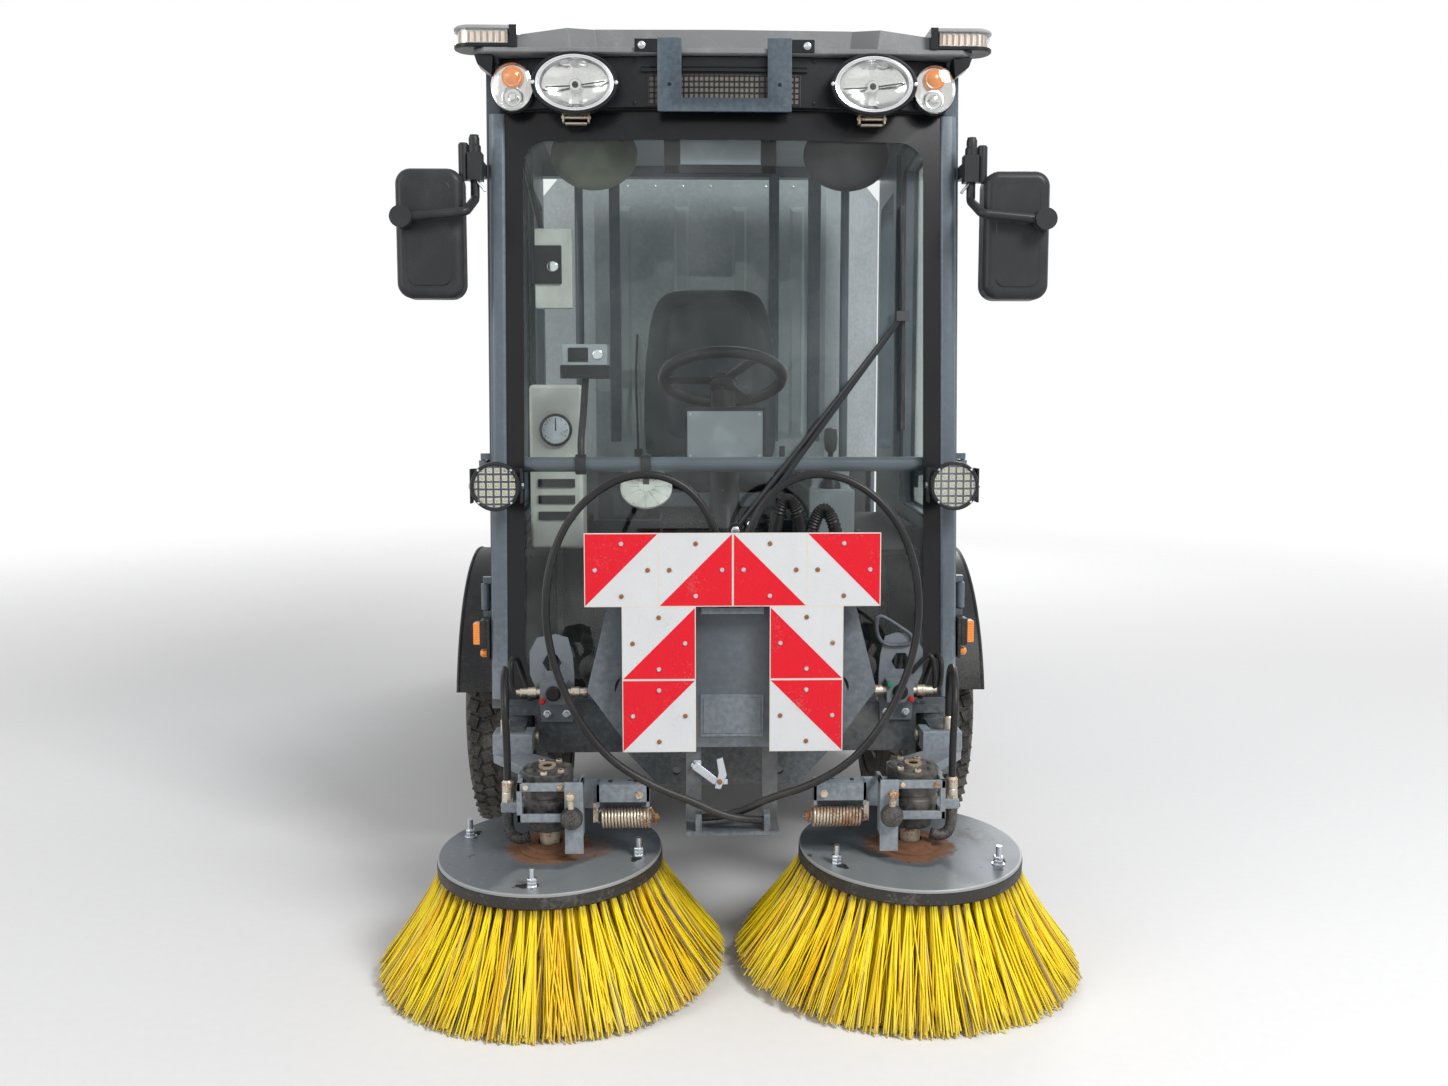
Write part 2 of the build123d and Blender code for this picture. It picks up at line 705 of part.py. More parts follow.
with BuildPart() as cab_consoles:
    block(255, 385, -520, 40, cabin_floor, 905)
    block(265, 375, -470, -120, 905, 960)
    block(-arch_inner + arch_panel + 50, -arch_inner + arch_panel - 80, -960, -840, shelf_z + arch_panel, 1190)
save("cab_consoles", cab_consoles.part)

# ---------------------------------------------------------------- front cover, warning board and cables
with BuildPart() as centre_panel:
    with BuildSketch(Plane.XZ.offset(-panel_y)):
        with BuildLine():
            Polyline((0, 477), (200, 477), (282, 590), (240, 757), (0, 757))
            mirror(about=Plane.YZ)
        make_face()
    extrude(amount=panel_thickness)
    for z in (540, 715):
        bar_y(141, board_y + board_thickness, panel_y, z, 11)
    # glands of the cables, on a shelf at the top edge
    block(0, 60, panel_y - 44, panel_y, 745, 757)
    post(16, panel_y - 28, 757, 775, cable_radius + 5)
    mirrored()
save("centre_panel", centre_panel.part)

module = 141                                # side of one square of the warning board
board_low = 479
with BuildPart() as warning_board:
    with BuildSketch(Plane.XZ.offset(-board_y)):
        with BuildLine():
            Polyline(
                (0, board_low + 2 * module), (module / 2, board_low + 2 * module), (module / 2, board_low),
                (1.5 * module, board_low), (1.5 * module, board_low + 2 * module),
                (2 * module, board_low + 2 * module), (2 * module, board_low + 3 * module),
                (0, board_low + 3 * module),
            )
            mirror(about=Plane.YZ)
        make_face()
    extrude(amount=-board_thickness)
save("warning_board", warning_board.part)


def cord_path(points):
    """The route's runs with the largest tangent arcs that they allow, and the arcs' radii."""
    route = [Vector(*point) for point in points]
    radii = []
    for before, here, after in zip(route, route[1:], route[2:]):
        first = here - before
        second = after - here
        turn = radians(first.get_angle(second))
        radii.append(0.45 * min(first.length, second.length) / tan(turn / 2))
    return route, radii


def cable_points(hand):
    """Route of one control cable: from its clamp across the middle, round the board and into its gland."""
    # columns: distance from the middle towards the loop, y, z
    rows = (
        (-clamp_x + 6, clamp_y + hand * crossing, clamp_z),
        (-28, clamp_y + hand * crossing, clamp_z),
        (20, clamp_y + hand * (crossing + 5), 356),
        (78, clamp_y + hand * (crossing + 3), 384),
        (152, -1750, 414),
        (240, -1756, 470),
        (310, -1756, 570),
        (352, -1752, 690),
        (356, -1742, 812),
        (318, -1730, 925),
        (240, -1722, 998),
        (150, -1716, 1018),
        (72, -1713, 980),
        (28, -1712, 900),
        (16, -1712, 830),
        (16, -1712, 775),
    )
    return [(hand * x, y, z) for x, y, z in rows]


for name, hand in (("control_cable_left", 1), ("control_cable_right", -1)):
    route, radii = cord_path(cable_points(hand))
    print(name, "radii", [round(radius) for radius in radii])
    with BuildPart() as control_cable:
        with BuildLine() as run:
            FilletPolyline(*route, radius=radii)
        with BuildSketch(Plane(origin=route[0], z_dir=route[1] - route[0])):
            Circle(cable_radius)
        sweep()
    length = sum(edge.length for edge in run.edges())
    print(name, "volume over section times length", control_cable.part.volume / (pi * cable_radius**2 * length))
    save(name, control_cable.part)

# ---------------------------------------------------------------- brush arms
knuckle_radius = 32
pin_fit = 0.05
lift_y = -1420
lift_z = 430
lift_pin = 12
tongue_half = 20
with BuildPart() as brush_knuckle:
    post(swing_x, swing_y, swing_low + 1, swing_high - 1, knuckle_radius)
    block(swing_x - tongue_half, swing_x + tongue_half, lift_y, swing_y, lift_z - 24, lift_z + 24)
    bar_x(swing_x - tongue_half, swing_x + tongue_half, lift_y, lift_z, 24)
    bar_x(swing_x - 30, swing_x + 30, lift_y, lift_z, lift_pin + pin_fit, mode=Mode.SUBTRACT)
    post(swing_x, swing_y, swing_low, swing_high, swing_pin + pin_fit, mode=Mode.SUBTRACT)
save_pair("brush_knuckle", brush_knuckle.part)

motor_radius = 52
motor_low = 80                              # along the spin axis, from the disc's underside
motor_high = 208
shaft_high = 102
shaft_size = 20
plate_low = 388
plate_high = 412
cover_top = 400                             # of the plate over the spring
hose_radius = 7.5
hose_x = 446
hose_front = -1638                          # front and rear legs of the hose's loop
hose_rear = -1466
port_z = 368
root_z = 458
with BuildPart() as brush_arm:
    for x in (swing_x - tongue_half - 22, swing_x + tongue_half + 2):
        block(x, x + 20, lift_y - 50, lift_y, lift_z - 22, lift_z + 22)
        bar_x(x, x + 20, lift_y, lift_z, 22)
    bar_x(swing_x - tongue_half - 22, swing_x + tongue_half + 22, lift_y, lift_z, lift_pin)
    block(swing_x - tongue_half - 22, swing_x + tongue_half + 22, lift_y - 66, lift_y - 46, lift_z - 22, lift_z + 22)
    with BuildSketch(Plane.XY.offset(plate_low)):
        with BuildLine():
            Polyline(
                (swing_x - 42, lift_y - 60), (swing_x + 42, lift_y - 60), (brush_x + 62, brush_y + 40),
                (brush_x + 62, brush_y - 20), (brush_x - 40, brush_y - 20), (brush_x - 40, brush_y + 60),
                (swing_x - 42, lift_y - 60),
            )
        make_face()
    extrude(amount=plate_high - plate_low)
    with BuildSketch(brush_plane.offset(motor_low)):
        Circle(motor_radius)
    extrude(amount=motor_high - motor_low)
    # spring cover and its carrier, inboard of the motor
    block(165, brush_x - 30, brush_y - 20, brush_y - 12, cover_top - 60, cover_top)
    block(165, 255, brush_y - 55, brush_y - 12, cover_top - 8, cover_top)
    # unions of the motor's hose
    block(brush_x + 40, hose_x + 13, hose_front - 13, hose_front + 13, port_z - 34, port_z - 14)
    post(hose_x, hose_front, port_z - 34, port_z, hose_radius + 3)
    post(hose_x + 25, hose_rear, lift_z + 15, root_z, hose_radius + 3)
    with BuildSketch(brush_plane.offset(motor_low - 1)):
        Circle(shaft_size + pin_fit)
    extrude(amount=shaft_high - motor_low + 4, mode=Mode.SUBTRACT)
save_pair("brush_arm", brush_arm.part)

hose_route, hose_radii = cord_path((
    (hose_x, hose_front, port_z),
    (hose_x, hose_front, 432),
    (hose_x + 1, hose_front - 2, 496),
    (hose_x + 4, hose_front, 546),
    (hose_x + 9, hose_front + 32, 590),
    (hose_x + 15, hose_front + 85, 607),
    (hose_x + 20, hose_rear - 33, 590),
    (hose_x + 24, hose_rear - 1, 546),
    (hose_x + 25, hose_rear, 492),
    (hose_x + 25, hose_rear, root_z),
))
print("brush_hose radii", [round(radius) for radius in hose_radii])
with BuildPart() as brush_hose:
    with BuildLine() as run:
        FilletPolyline(*hose_route, radius=hose_radii)
    with BuildSketch(Plane(origin=hose_route[0], z_dir=hose_route[1] - hose_route[0])):
        Circle(hose_radius)
    sweep()
length = sum(edge.length for edge in run.edges())
print("brush_hose length", length, "volume over section times length", brush_hose.part.volume / (pi * hose_radius**2 * length))
save_pair("brush_hose", brush_hose.part)

spring_in = 157
spring_out = 259
spring_y = -1668
spring_z = 328
spring_radius = 22
wire_end = 142                              # of the pull wire, short of the cover's posts
with BuildPart() as tension_spring:
    bar_x(spring_in, spring_out, spring_y, spring_z, spring_radius)
    bar_x(spring_out, spring_out + 16, spring_y, spring_z, 9)
    block(spring_out + 8, spring_out + 16, spring_y, brush_y - 20 - fit, spring_z - 9, spring_z + 30)
    bar_x(wire_end, spring_in, spring_y, spring_z, 4)
save_pair("tension_spring", tension_spring.part)

with BuildPart() as brush_disc:
    with BuildSketch(brush_plane):
        Circle(disc_radius)
    extrude(amount=disc_thickness)
    with BuildSketch(brush_plane):
        Circle(46)
    extrude(amount=disc_thickness + 16)
    with BuildSketch(brush_plane):
        Circle(shaft_size)
    extrude(amount=shaft_high)
save_pair("brush_disc", brush_disc.part)

with BuildPart() as bristles:
    with BuildSketch(Plane(origin=brush_plane.origin, x_dir=brush_plane.x_dir, z_dir=brush_plane.y_dir)):
        with BuildLine():
            Polyline(
                (140, fit), (disc_radius - 8, fit), (disc_radius + 45, 70), (tip_radius, bristle_drop),
                (tip_radius - 85, bristle_drop), (140, fit),
            )
        make_face()
    revolve(axis=Axis(brush_plane.origin, brush_plane.z_dir))
save_pair("bristles", bristles.part)

# ---------------------------------------------------------------- rear frame
tongue_gap = 1                              # between the articulation lugs and the tongue
rear_cross_y = hopper_front_y
hinge_y = rear_axle_y + 490                 # hopper's tipping axis
hinge_z = 905
hinge_x = 280
hinge_half = 22
hinge_pin = 14
barrel_x = 360                              # hopper cylinders
barrel_y = rear_axle_y + 370
barrel_z = 600
eye_y = rear_axle_y + 170
eye_z = 865
eye_pin = 12
arm_ys = (hopper_front_y + 130, rail_rear_y - 115)  # arms that carry the covers and tanks
cover_x = 585
mouth_half = 330
mouth_front = duct_y - 120
mouth_rear = duct_y + 120
with BuildPart() as rear_frame:
    block(rail_x - rail_width / 2, rail_x + rail_width / 2, rear_cross_y, rail_rear_y, rail_low, rail_high)
    for y in (rear_cross_y, rear_cross_y + 370, rail_rear_y - 50):
        block(0, rail_x, y, y + 50, rail_low, rail_high)
    block(0, 70, pivot_y, rear_cross_y, lug_low + lug_thickness + tongue_gap, lug_high - lug_thickness - tongue_gap)
    post(0, pivot_y, lug_low + lug_thickness + tongue_gap, lug_high - lug_thickness - tongue_gap, 70)
    for y in arm_ys:
        block(rail_x, cover_x, y - 20, y + 20, rail_high - 40, rail_high)
    # posts of the tipping axis
    block(hinge_x - 25, hinge_x + 25, hinge_y - hinge_half, hinge_y + hinge_half, rail_high, hinge_z)
    bar_x(hinge_x - 25, hinge_x + 25, hinge_y, hinge_z, hinge_half)
    bar_x(hinge_x - 30, hinge_x + 30, hinge_y, hinge_z, hinge_pin + pin_fit, mode=Mode.SUBTRACT)
    # ears and pins of the hopper cylinders
    for x in (barrel_x - 42, barrel_x + 30):
        block(x, x + 12, barrel_y - 20, barrel_y + 20, rail_low, barrel_z)
        bar_x(x, x + 12, barrel_y, barrel_z, 20)
    block(rail_x, barrel_x + 42, barrel_y - 20, barrel_y + 20, rail_low, rail_low + 20)
    bar_x(barrel_x - 42, barrel_x + 42, barrel_y, barrel_z, eye_pin)
    # hangers of the suction mouth
    block(rail_x - 40, rail_x - 30, duct_y - 30, duct_y + 30, 150, rail_low + 5)
    mirrored()
    post(0, pivot_y, lug_low, lug_high, pivot_pin + pivot_fit, mode=Mode.SUBTRACT)
save("rear_frame", rear_frame.part)

with BuildPart() as suction_mouth:
    block(-mouth_half, mouth_half, mouth_front, mouth_rear, mouth_clearance, 150)
    chamfer(suction_mouth.edges().filter_by(Axis.X).group_by(Axis.Z)[-1], 60)
    post(0, duct_y, 149, 925, duct_radius)
    post(0, duct_y, 915, 925, duct_radius + 20)
    block(-mouth_half + 8, mouth_half - 8, mouth_front + 8, mouth_rear - 8, 0, 85, mode=Mode.SUBTRACT)
    post(0, duct_y, 80, 926, duct_radius - duct_wall, mode=Mode.SUBTRACT)
save("suction_mouth", suction_mouth.part)

# ---------------------------------------------------------------- tanks, engine and covers
tank_high = 915
front_flat = 400                            # half width of the square part of the rear module's front


def front_chamfer(x):
    """Foremost y of the rear module at x, so that it clears the cab on full lock."""
    return hopper_front_y + max(0, x - front_flat) * 0.68


tank_front = hopper_front_y + 60
with BuildPart() as water_tanks:
    with BuildSketch(Plane.XY.offset(rail_high)):
        with BuildLine():
            Polyline(
                (295, tank_front), (front_flat, tank_front), (570, front_chamfer(570) + 30), (570, tank_front + 365),
                (295, tank_front + 365), (295, tank_front),
            )
        make_face()
    extrude(amount=tank_high - rail_high)
    fillet(water_tanks.edges().filter_by(Axis.Z), 20)
    mirrored()
save("water_tanks", water_tanks.part)

with BuildPart() as engine_block:
    block(-245, 245, rear_axle_y - 220, rear_axle_y + 430, rail_high, 880)
save("engine_block", engine_block.part)

cover_low = 440
cover_high = 922
cover_arch = fender_radius
cover_front = hopper_front_y + 150
cover_step = 855                            # top of the covers behind the tipping axis
with BuildPart() as engine_covers:
    with BuildSketch(Plane.YZ.offset(cover_x)):
        with BuildLine():
            Polyline(
                (rear_axle_y - arch_reach(cover_low, cover_arch), cover_low), (cover_front, cover_low),
                (cover_front, cover_high), (hinge_y - 30, cover_high), (hinge_y, cover_step), (rail_rear_y, cover_step),
                (rail_rear_y, cover_low),
                (rear_axle_y + arch_reach(cover_low, cover_arch), cover_low),
            )
            ThreePointArc(
                (rear_axle_y + arch_reach(cover_low, cover_arch), cover_low), (rear_axle_y, tyre_radius + cover_arch),
                (rear_axle_y - arch_reach(cover_low, cover_arch), cover_low),
            )
        make_face()
    extrude(amount=15)
    block(0, cover_x, rail_rear_y - 15, rail_rear_y, rail_high + fit, cover_step)
    mirrored()
save("engine_covers", engine_covers.part)

with BuildPart() as rear_bumper:
    block(0, body_half_width - 50, rail_rear_y + fit, rear_end_y - 20, 400, 560)
    block(450, 570, rear_end_y - 20, rear_end_y, 450, 525)
    mirrored()
save("rear_bumper", rear_bumper.part)

# ---------------------------------------------------------------- hopper
top_chamfer = 70
door_thickness = 30
tailgate_y = hopper_rear_y + 2 + door_thickness / 2
tailgate_z = hopper_high + 14
tailgate_pin = 6
tailgate_lug = 9
tailgate_knuckles = (310, 380)              # inner and outer lug of each hinge
with BuildPart() as hopper_shell:
    with BuildSketch(Plane.XY.offset(hopper_low)):
        with BuildLine():
            Polyline(
                (0, hopper_front_y), (front_flat, hopper_front_y), (hopper_half, front_chamfer(hopper_half)),
                (hopper_half, hopper_rear_y), (0, hopper_rear_y),
            )
            mirror(about=Plane.YZ)
        make_face()
    extrude(amount=hopper_high - hopper_low)
    chamfer(hopper_shell.edges().filter_by(Axis.Y).group_by(Axis.Z)[-1], top_chamfer)
    back = hopper_shell.faces().sort_by(Axis.Y)[-1]
    offset(amount=-hopper_wall, openings=back)
    post(0, duct_y, hopper_low - 10, hopper_low + hopper_wall + 10, duct_radius + 4, mode=Mode.SUBTRACT)
    # cheeks of the tipping axis and of the cylinders
    for side_sign in (-1, 1):
        block(
            side_sign * (hinge_x + 27), side_sign * (hinge_x + 45), hinge_y - 20, hinge_y + 20, hinge_z, hopper_low,
        )
        bar_x(side_sign * (hinge_x + 27), side_sign * (hinge_x + 45), hinge_y, hinge_z, 20)
        bar_x(side_sign * (hinge_x - 25), side_sign * (hinge_x + 45), hinge_y, hinge_z, hinge_pin)
        for x in (barrel_x - 36, barrel_x + 24):
            block(side_sign * x, side_sign * (x + 12), eye_y - 26, eye_y + 26, eye_z - 26, hopper_low)
        # lugs and pins of the tailgate
        for x in tailgate_knuckles:
            block(
                side_sign * x, side_sign * (x + 16), hopper_rear_y - 70, tailgate_y, tailgate_z - tailgate_lug,
                tailgate_z + tailgate_lug,
            )
            block(
                side_sign * x, side_sign * (x + 16), hopper_rear_y - 70, hopper_rear_y - 10, hopper_high - 1,
                tailgate_z,
            )
            bar_x(side_sign * x, side_sign * (x + 16), tailgate_y, tailgate_z, tailgate_lug)
        bar_x(side_sign * tailgate_knuckles[0], side_sign * (tailgate_knuckles[1] + 16), tailgate_y, tailgate_z, tailgate_pin)
save("hopper_shell", hopper_shell.part)

with BuildPart() as hopper_door:
    block(-hopper_half, hopper_half, hopper_rear_y + 2, hopper_rear_y + 2 + door_thickness, hopper_low, hopper_high)
    chamfer(hopper_door.edges().filter_by(Axis.Y).group_by(Axis.Z)[-1], top_chamfer)
    for side_sign in (-1, 1):
        inner = side_sign * (tailgate_knuckles[0] + 17)
        outer = side_sign * (tailgate_knuckles[1] - 1)
        bar_x(inner, outer, tailgate_y, tailgate_z, tailgate_lug + 2)
        block(inner, outer, tailgate_y - 8, tailgate_y + 8, hopper_high - 1, tailgate_z)
        bar_x(inner - 10 * side_sign, outer + 10 * side_sign, tailgate_y, tailgate_z, tailgate_pin + pin_fit, mode=Mode.SUBTRACT)
save("hopper_door", hopper_door.part)

# ---------------------------------------------------------------- hopper cylinders
eye_line = Vector(0, eye_y - barrel_y, eye_z - barrel_z)
cylinder_axis = eye_line.normalized()
barrel_length = 262
barrel_radius = 24
rod_radius = 15
with BuildPart() as hopper_barrels:
    pivot_plane = Plane(origin=(barrel_x, barrel_y, barrel_z), z_dir=cylinder_axis)
    with BuildSketch(pivot_plane):
        Circle(barrel_radius)
    extrude(amount=barrel_length)
    bar_x(barrel_x - 20, barrel_x + 20, barrel_y, barrel_z, 24)
    bar_x(barrel_x - 40, barrel_x + 40, barrel_y, barrel_z, eye_pin + pin_fit, mode=Mode.SUBTRACT)
    with BuildSketch(pivot_plane.offset(30)):
        Circle(rod_radius + pin_fit)
    extrude(amount=barrel_length, mode=Mode.SUBTRACT)
    mirrored()
save("hopper_barrels", hopper_barrels.part)

with BuildPart() as hopper_rods:
    with BuildSketch(pivot_plane.offset(34)):
        Circle(rod_radius)
    extrude(amount=eye_line.length - 34)
    bar_x(barrel_x - 18, barrel_x + 18, eye_y, eye_z, 22)
    bar_x(barrel_x - 24, barrel_x + 24, eye_y, eye_z, eye_pin, mode=Mode.SUBTRACT)
    mirrored()
save("hopper_rods", hopper_rods.part)
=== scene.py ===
import json
import random
from math import copysign, cos, pi, radians, sin, tau

import bmesh
import bpy
from mathutils import Matrix, Vector


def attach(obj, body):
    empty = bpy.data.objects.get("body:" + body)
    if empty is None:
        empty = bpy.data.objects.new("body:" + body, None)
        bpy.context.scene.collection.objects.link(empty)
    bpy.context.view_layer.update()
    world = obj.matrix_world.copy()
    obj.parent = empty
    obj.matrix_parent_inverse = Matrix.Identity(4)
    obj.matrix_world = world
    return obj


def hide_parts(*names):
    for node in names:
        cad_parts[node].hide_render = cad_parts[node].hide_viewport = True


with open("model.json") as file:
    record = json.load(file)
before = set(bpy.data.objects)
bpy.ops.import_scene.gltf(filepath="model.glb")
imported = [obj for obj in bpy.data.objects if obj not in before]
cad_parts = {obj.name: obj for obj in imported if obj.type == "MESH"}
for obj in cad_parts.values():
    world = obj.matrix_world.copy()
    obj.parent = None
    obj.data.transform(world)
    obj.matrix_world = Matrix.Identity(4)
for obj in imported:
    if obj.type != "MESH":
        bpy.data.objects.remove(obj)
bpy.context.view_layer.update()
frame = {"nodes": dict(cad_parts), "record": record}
record = frame["record"]

# ---------------------------------------------------------------- ground, light and view
# The sweeper stands on a plain pale floor that fades into white, under a large soft lamp from its left
# and a weaker one from its right. Nothing here is part of the machine.


class Val:
    """A shader socket. Ordinary arithmetic on it adds Math nodes."""

    def __init__(self, tree, socket):
        self.tree, self.socket = tree, socket

    def math(self, operation, *values):
        node = self.tree.nodes.new("ShaderNodeMath")
        node.operation = operation
        for place, value in enumerate(values):
            if isinstance(value, Val):
                self.tree.links.new(value.socket, node.inputs[place])
            else:
                node.inputs[place].default_value = value
        return Val(self.tree, node.outputs[0])

    def __add__(self, other):
        return self.math("ADD", self, other)

    def __sub__(self, other):
        return self.math("SUBTRACT", self, other)

    def __rsub__(self, other):
        return self.math("SUBTRACT", other, self)

    def __mul__(self, other):
        return self.math("MULTIPLY", self, other)

    def __truediv__(self, other):
        return self.math("DIVIDE", self, other)

    def __pow__(self, other):
        return self.math("POWER", self, other)

    def __abs__(self):
        return self.math("ABSOLUTE", self)

    __radd__, __rmul__ = __add__, __mul__

    def least(self, other):
        return self.math("MINIMUM", self, other)

    def most(self, other):
        return self.math("MAXIMUM", self, other)

    def over(self, limit):
        return self.math("GREATER_THAN", self, limit)

    def wrap(self, length):
        """The remainder after whole lengths, never negative."""
        return self.math("FLOORED_MODULO", self, length)


def linked(name, data):
    """A new object in the scene with its data."""
    piece = bpy.data.objects.new(name, data)
    bpy.context.scene.collection.objects.link(piece)
    return piece


class Finish:
    """One material. Its shader's constants are given by name, and what varies is fed to it later."""

    def __init__(self, name, **constants):
        self.material = bpy.data.materials.new(name)
        self.material.use_nodes = True
        self.tree = self.material.node_tree
        self.shader = self.tree.nodes["Principled BSDF"]
        for key, value in constants.items():
            socket = self.shader.inputs[key.replace("_", " ")]
            socket.default_value = (*value, 1) if isinstance(value, tuple) else value
        self.place = self.node("TexCoord", {}, {}, "Object")

    def node(self, kind, settings, values, out=0):
        """Adds a node: its type, its settings, the values or links of its sockets. Returns one output."""
        node = self.tree.nodes.new("ShaderNode" + kind)
        for key, value in settings.items():
            if key == "stops":
                ramp = node.color_ramp
                while len(ramp.elements) < len(value):
                    ramp.elements.new(1)
                for element, (at, colour) in zip(ramp.elements, value):
                    element.position, element.color = at, (*colour, 1)
            else:
                setattr(node, key, value)
        for key, value in values.items():
            self.feed(node, key, value)
        return Val(self.tree, node.outputs[out])

    def feed(self, node, key, value):
        """Links or sets one socket of a node."""
        if isinstance(value, Val):
            self.tree.links.new(value.socket, node.inputs[key])
        elif isinstance(value, tuple) and len(node.inputs[key].default_value) == 4:
            node.inputs[key].default_value = (*value[:3], 1)
        else:
            node.inputs[key].default_value = value

    def to(self, **sockets):
        """Feeds the principled shader's own sockets."""
        for key, value in sockets.items():
            self.feed(self.shader, key.replace("_", " "), value)
        return self

    def axes(self):
        """Object coordinates as three values."""
        split = self.tree.nodes.new("ShaderNodeSeparateXYZ")
        self.tree.links.new(self.place.socket, split.inputs[0])
        return [Val(self.tree, socket) for socket in split.outputs]

    def noise(self, scale, detail=4.0):
        """Cloudy noise from 0 to 1, at a scale per metre."""
        values = {"Vector": self.place, "Scale": scale, "Detail": detail, "Roughness": 0.55}
        return self.node("TexNoise", {}, values)

    def ease(self, value, low, high):
        """0 below low, 1 above high and smooth between."""
        values = {"Value": value, "From Min": low, "From Max": high}
        return self.node("MapRange", {"interpolation_type": "SMOOTHSTEP"}, values)

    def mix(self, share, first, second):
        """A colour between two."""
        return self.node("Mix", {"data_type": "RGBA"}, {0: share, 6: first, 7: second}, 2)

    def bump(self, height, depth):
        """Feeds the normal from a height, in metres for a height of 1."""
        self.to(Normal=self.node("Bump", {}, {"Height": height, "Distance": depth, "Strength": 1.0}))
        return self


ground = Finish("studio_floor", Roughness=0.9, Specular_IOR_Level=0.15)
reach_x, reach_y, _ = ground.axes()
distance = (reach_x**2 + (reach_y * 0.8) ** 2) ** 0.5
unseen = ground.tree.nodes.new("ShaderNodeBsdfTransparent")
fade = ground.tree.nodes.new("ShaderNodeMixShader")
ground.feed(fade, 0, ground.ease(distance + ground.noise(0.6) * 0.2, 2.4, 7.5))
ground.to(Base_Color=ground.mix(ground.noise(40), (0.79, 0.79, 0.8), (0.83, 0.83, 0.835)))
ground.tree.links.new(ground.shader.outputs[0], fade.inputs[1])
ground.tree.links.new(unseen.outputs[0], fade.inputs[2])
ground.tree.links.new(fade.outputs[0], ground.tree.nodes["Material Output"].inputs[0])

floor_mesh = bpy.data.meshes.new("studio_floor")
floor_mesh.from_pydata([(-9, -9, 0), (9, -9, 0), (9, 9, 0), (-9, 9, 0)], [], [(0, 1, 2, 3)])
floor_mesh.materials.append(ground.material)
floor = linked("studio_floor", floor_mesh)

world = bpy.data.worlds.new("studio")
bpy.context.scene.world = world
world.use_nodes = True
sky = world.node_tree
rays = sky.nodes.new("ShaderNodeLightPath")
seen = Val(sky, rays.outputs["Is Camera Ray"]).most(Val(sky, rays.outputs["Is Glossy Ray"]) * 0.9)
seen = seen.most(Val(sky, rays.outputs["Is Transmission Ray"]))
ambient = 0.42
strength = seen * (1 - ambient) + ambient
sky.links.new(strength.socket, sky.nodes["Background"].inputs["Strength"])
sky.nodes["Background"].inputs["Color"].default_value = (1, 1, 1, 1)


def lamp(name, place, aim, size, power):
    """A square soft lamp aimed at a point."""
    light = bpy.data.lights.new(name, "AREA")
    light.size, light.energy = size, power
    holder = linked(name, light)
    holder.location = place
    holder.rotation_euler = (Vector(aim) - Vector(place)).to_track_quat("-Z", "Y").to_euler()


lamp("key_lamp", (3.6, -5.6, 5.4), (0, -0.8, 0.9), 2.2, 420)
lamp("fill_lamp", (-5.2, -4.8, 3.2), (0, -0.6, 0.9), 3.5, 130)
lamp("back_lamp", (1.5, 6.5, 4.5), (0, 1.0, 1.0), 3.5, 240)
bpy.context.scene.view_settings.view_transform = "Standard"

camera = linked("camera", bpy.data.cameras.new("camera"))
camera.data.sensor_width, camera.data.sensor_fit, camera.data.lens = 36, "HORIZONTAL", 33.56
camera.location = (-0.09, -4.28, 1.15)
camera.rotation_euler = (radians(90 - 6.0), 0, radians(-1.65))
bpy.context.scene.camera = camera

# ---------------------------------------------------------------- frames and axles
# Rails and cross beams of folded and welded steel plate, sprayed dark blue grey. The rear frame turns on the
# front one by a pin between two lugs, and each axle is a beam with a hub motor at either end.
LEFT, FORWARD, BACK, UP = (1, 0, 0), (0, -1, 0), (0, 1, 0), (0, 0, 1)
SIDES = ((1, "left"), (-1, "right"))
body_of = {node: body for body, nodes in record["behaviour"]["bodies"].items() for node in nodes}
slot_of = {row["node"]: row["material_slot"] for row in record["subparts"]}


def baked(piece):
    """Turns a piece and its modifiers into one plain mesh."""
    bpy.context.view_layer.update()
    depsgraph = bpy.context.evaluated_depsgraph_get()
    mesh = bpy.data.meshes.new_from_object(
        piece.evaluated_get(depsgraph), preserve_all_data_layers=True, depsgraph=depsgraph
    )
    mesh.name = piece.name
    piece.modifiers.clear()
    piece.data = mesh
    return piece


def made(name, work, finishes, rounding=0.0, turns=2, crease=31):
    """Links a bmesh as a piece, rounds its edges by a width in metres and smooths what is left."""
    mesh = bpy.data.meshes.new(name)
    for edge in work.edges:
        edge.smooth = len(edge.link_faces) == 2 and edge.calc_face_angle(0) < radians(crease)
    for face in work.faces:
        face.smooth = True
    work.to_mesh(mesh)
    work.free()
    for finish in finishes:
        mesh.materials.append(finish.material)
    piece = linked(name, mesh)
    if rounding:
        for edge in mesh.edges:
            edge.use_edge_sharp = False
        bevel = piece.modifiers.new("rounding", "BEVEL")
        bevel.width, bevel.segments = rounding, turns
        bevel.limit_method, bevel.angle_limit = "ANGLE", radians(crease)
        bevel.miter_outer = "MITER_ARC"
    weighted = piece.modifiers.new("shading", "WEIGHTED_NORMAL")
    weighted.keep_sharp = True
    return baked(piece)


def settle(piece, body, slot, *nodes):
    """Rides a piece on a body and hides the nodes that it stands for. The slot is not used."""
    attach(piece, body)
    if nodes:
        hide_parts(*nodes)
    return piece


def islands(work):
    """The separate solids of a bmesh, as lists of faces."""
    left, groups = set(work.faces), []
    while left:
        group, edge = [], [left.pop()]
        while edge:
            face = edge.pop()
            group.append(face)
            for side in face.edges:
                for other in side.link_faces:
                    if other in left:
                        left.discard(other)
                        edge.append(other)
        groups.append(group)
    return groups


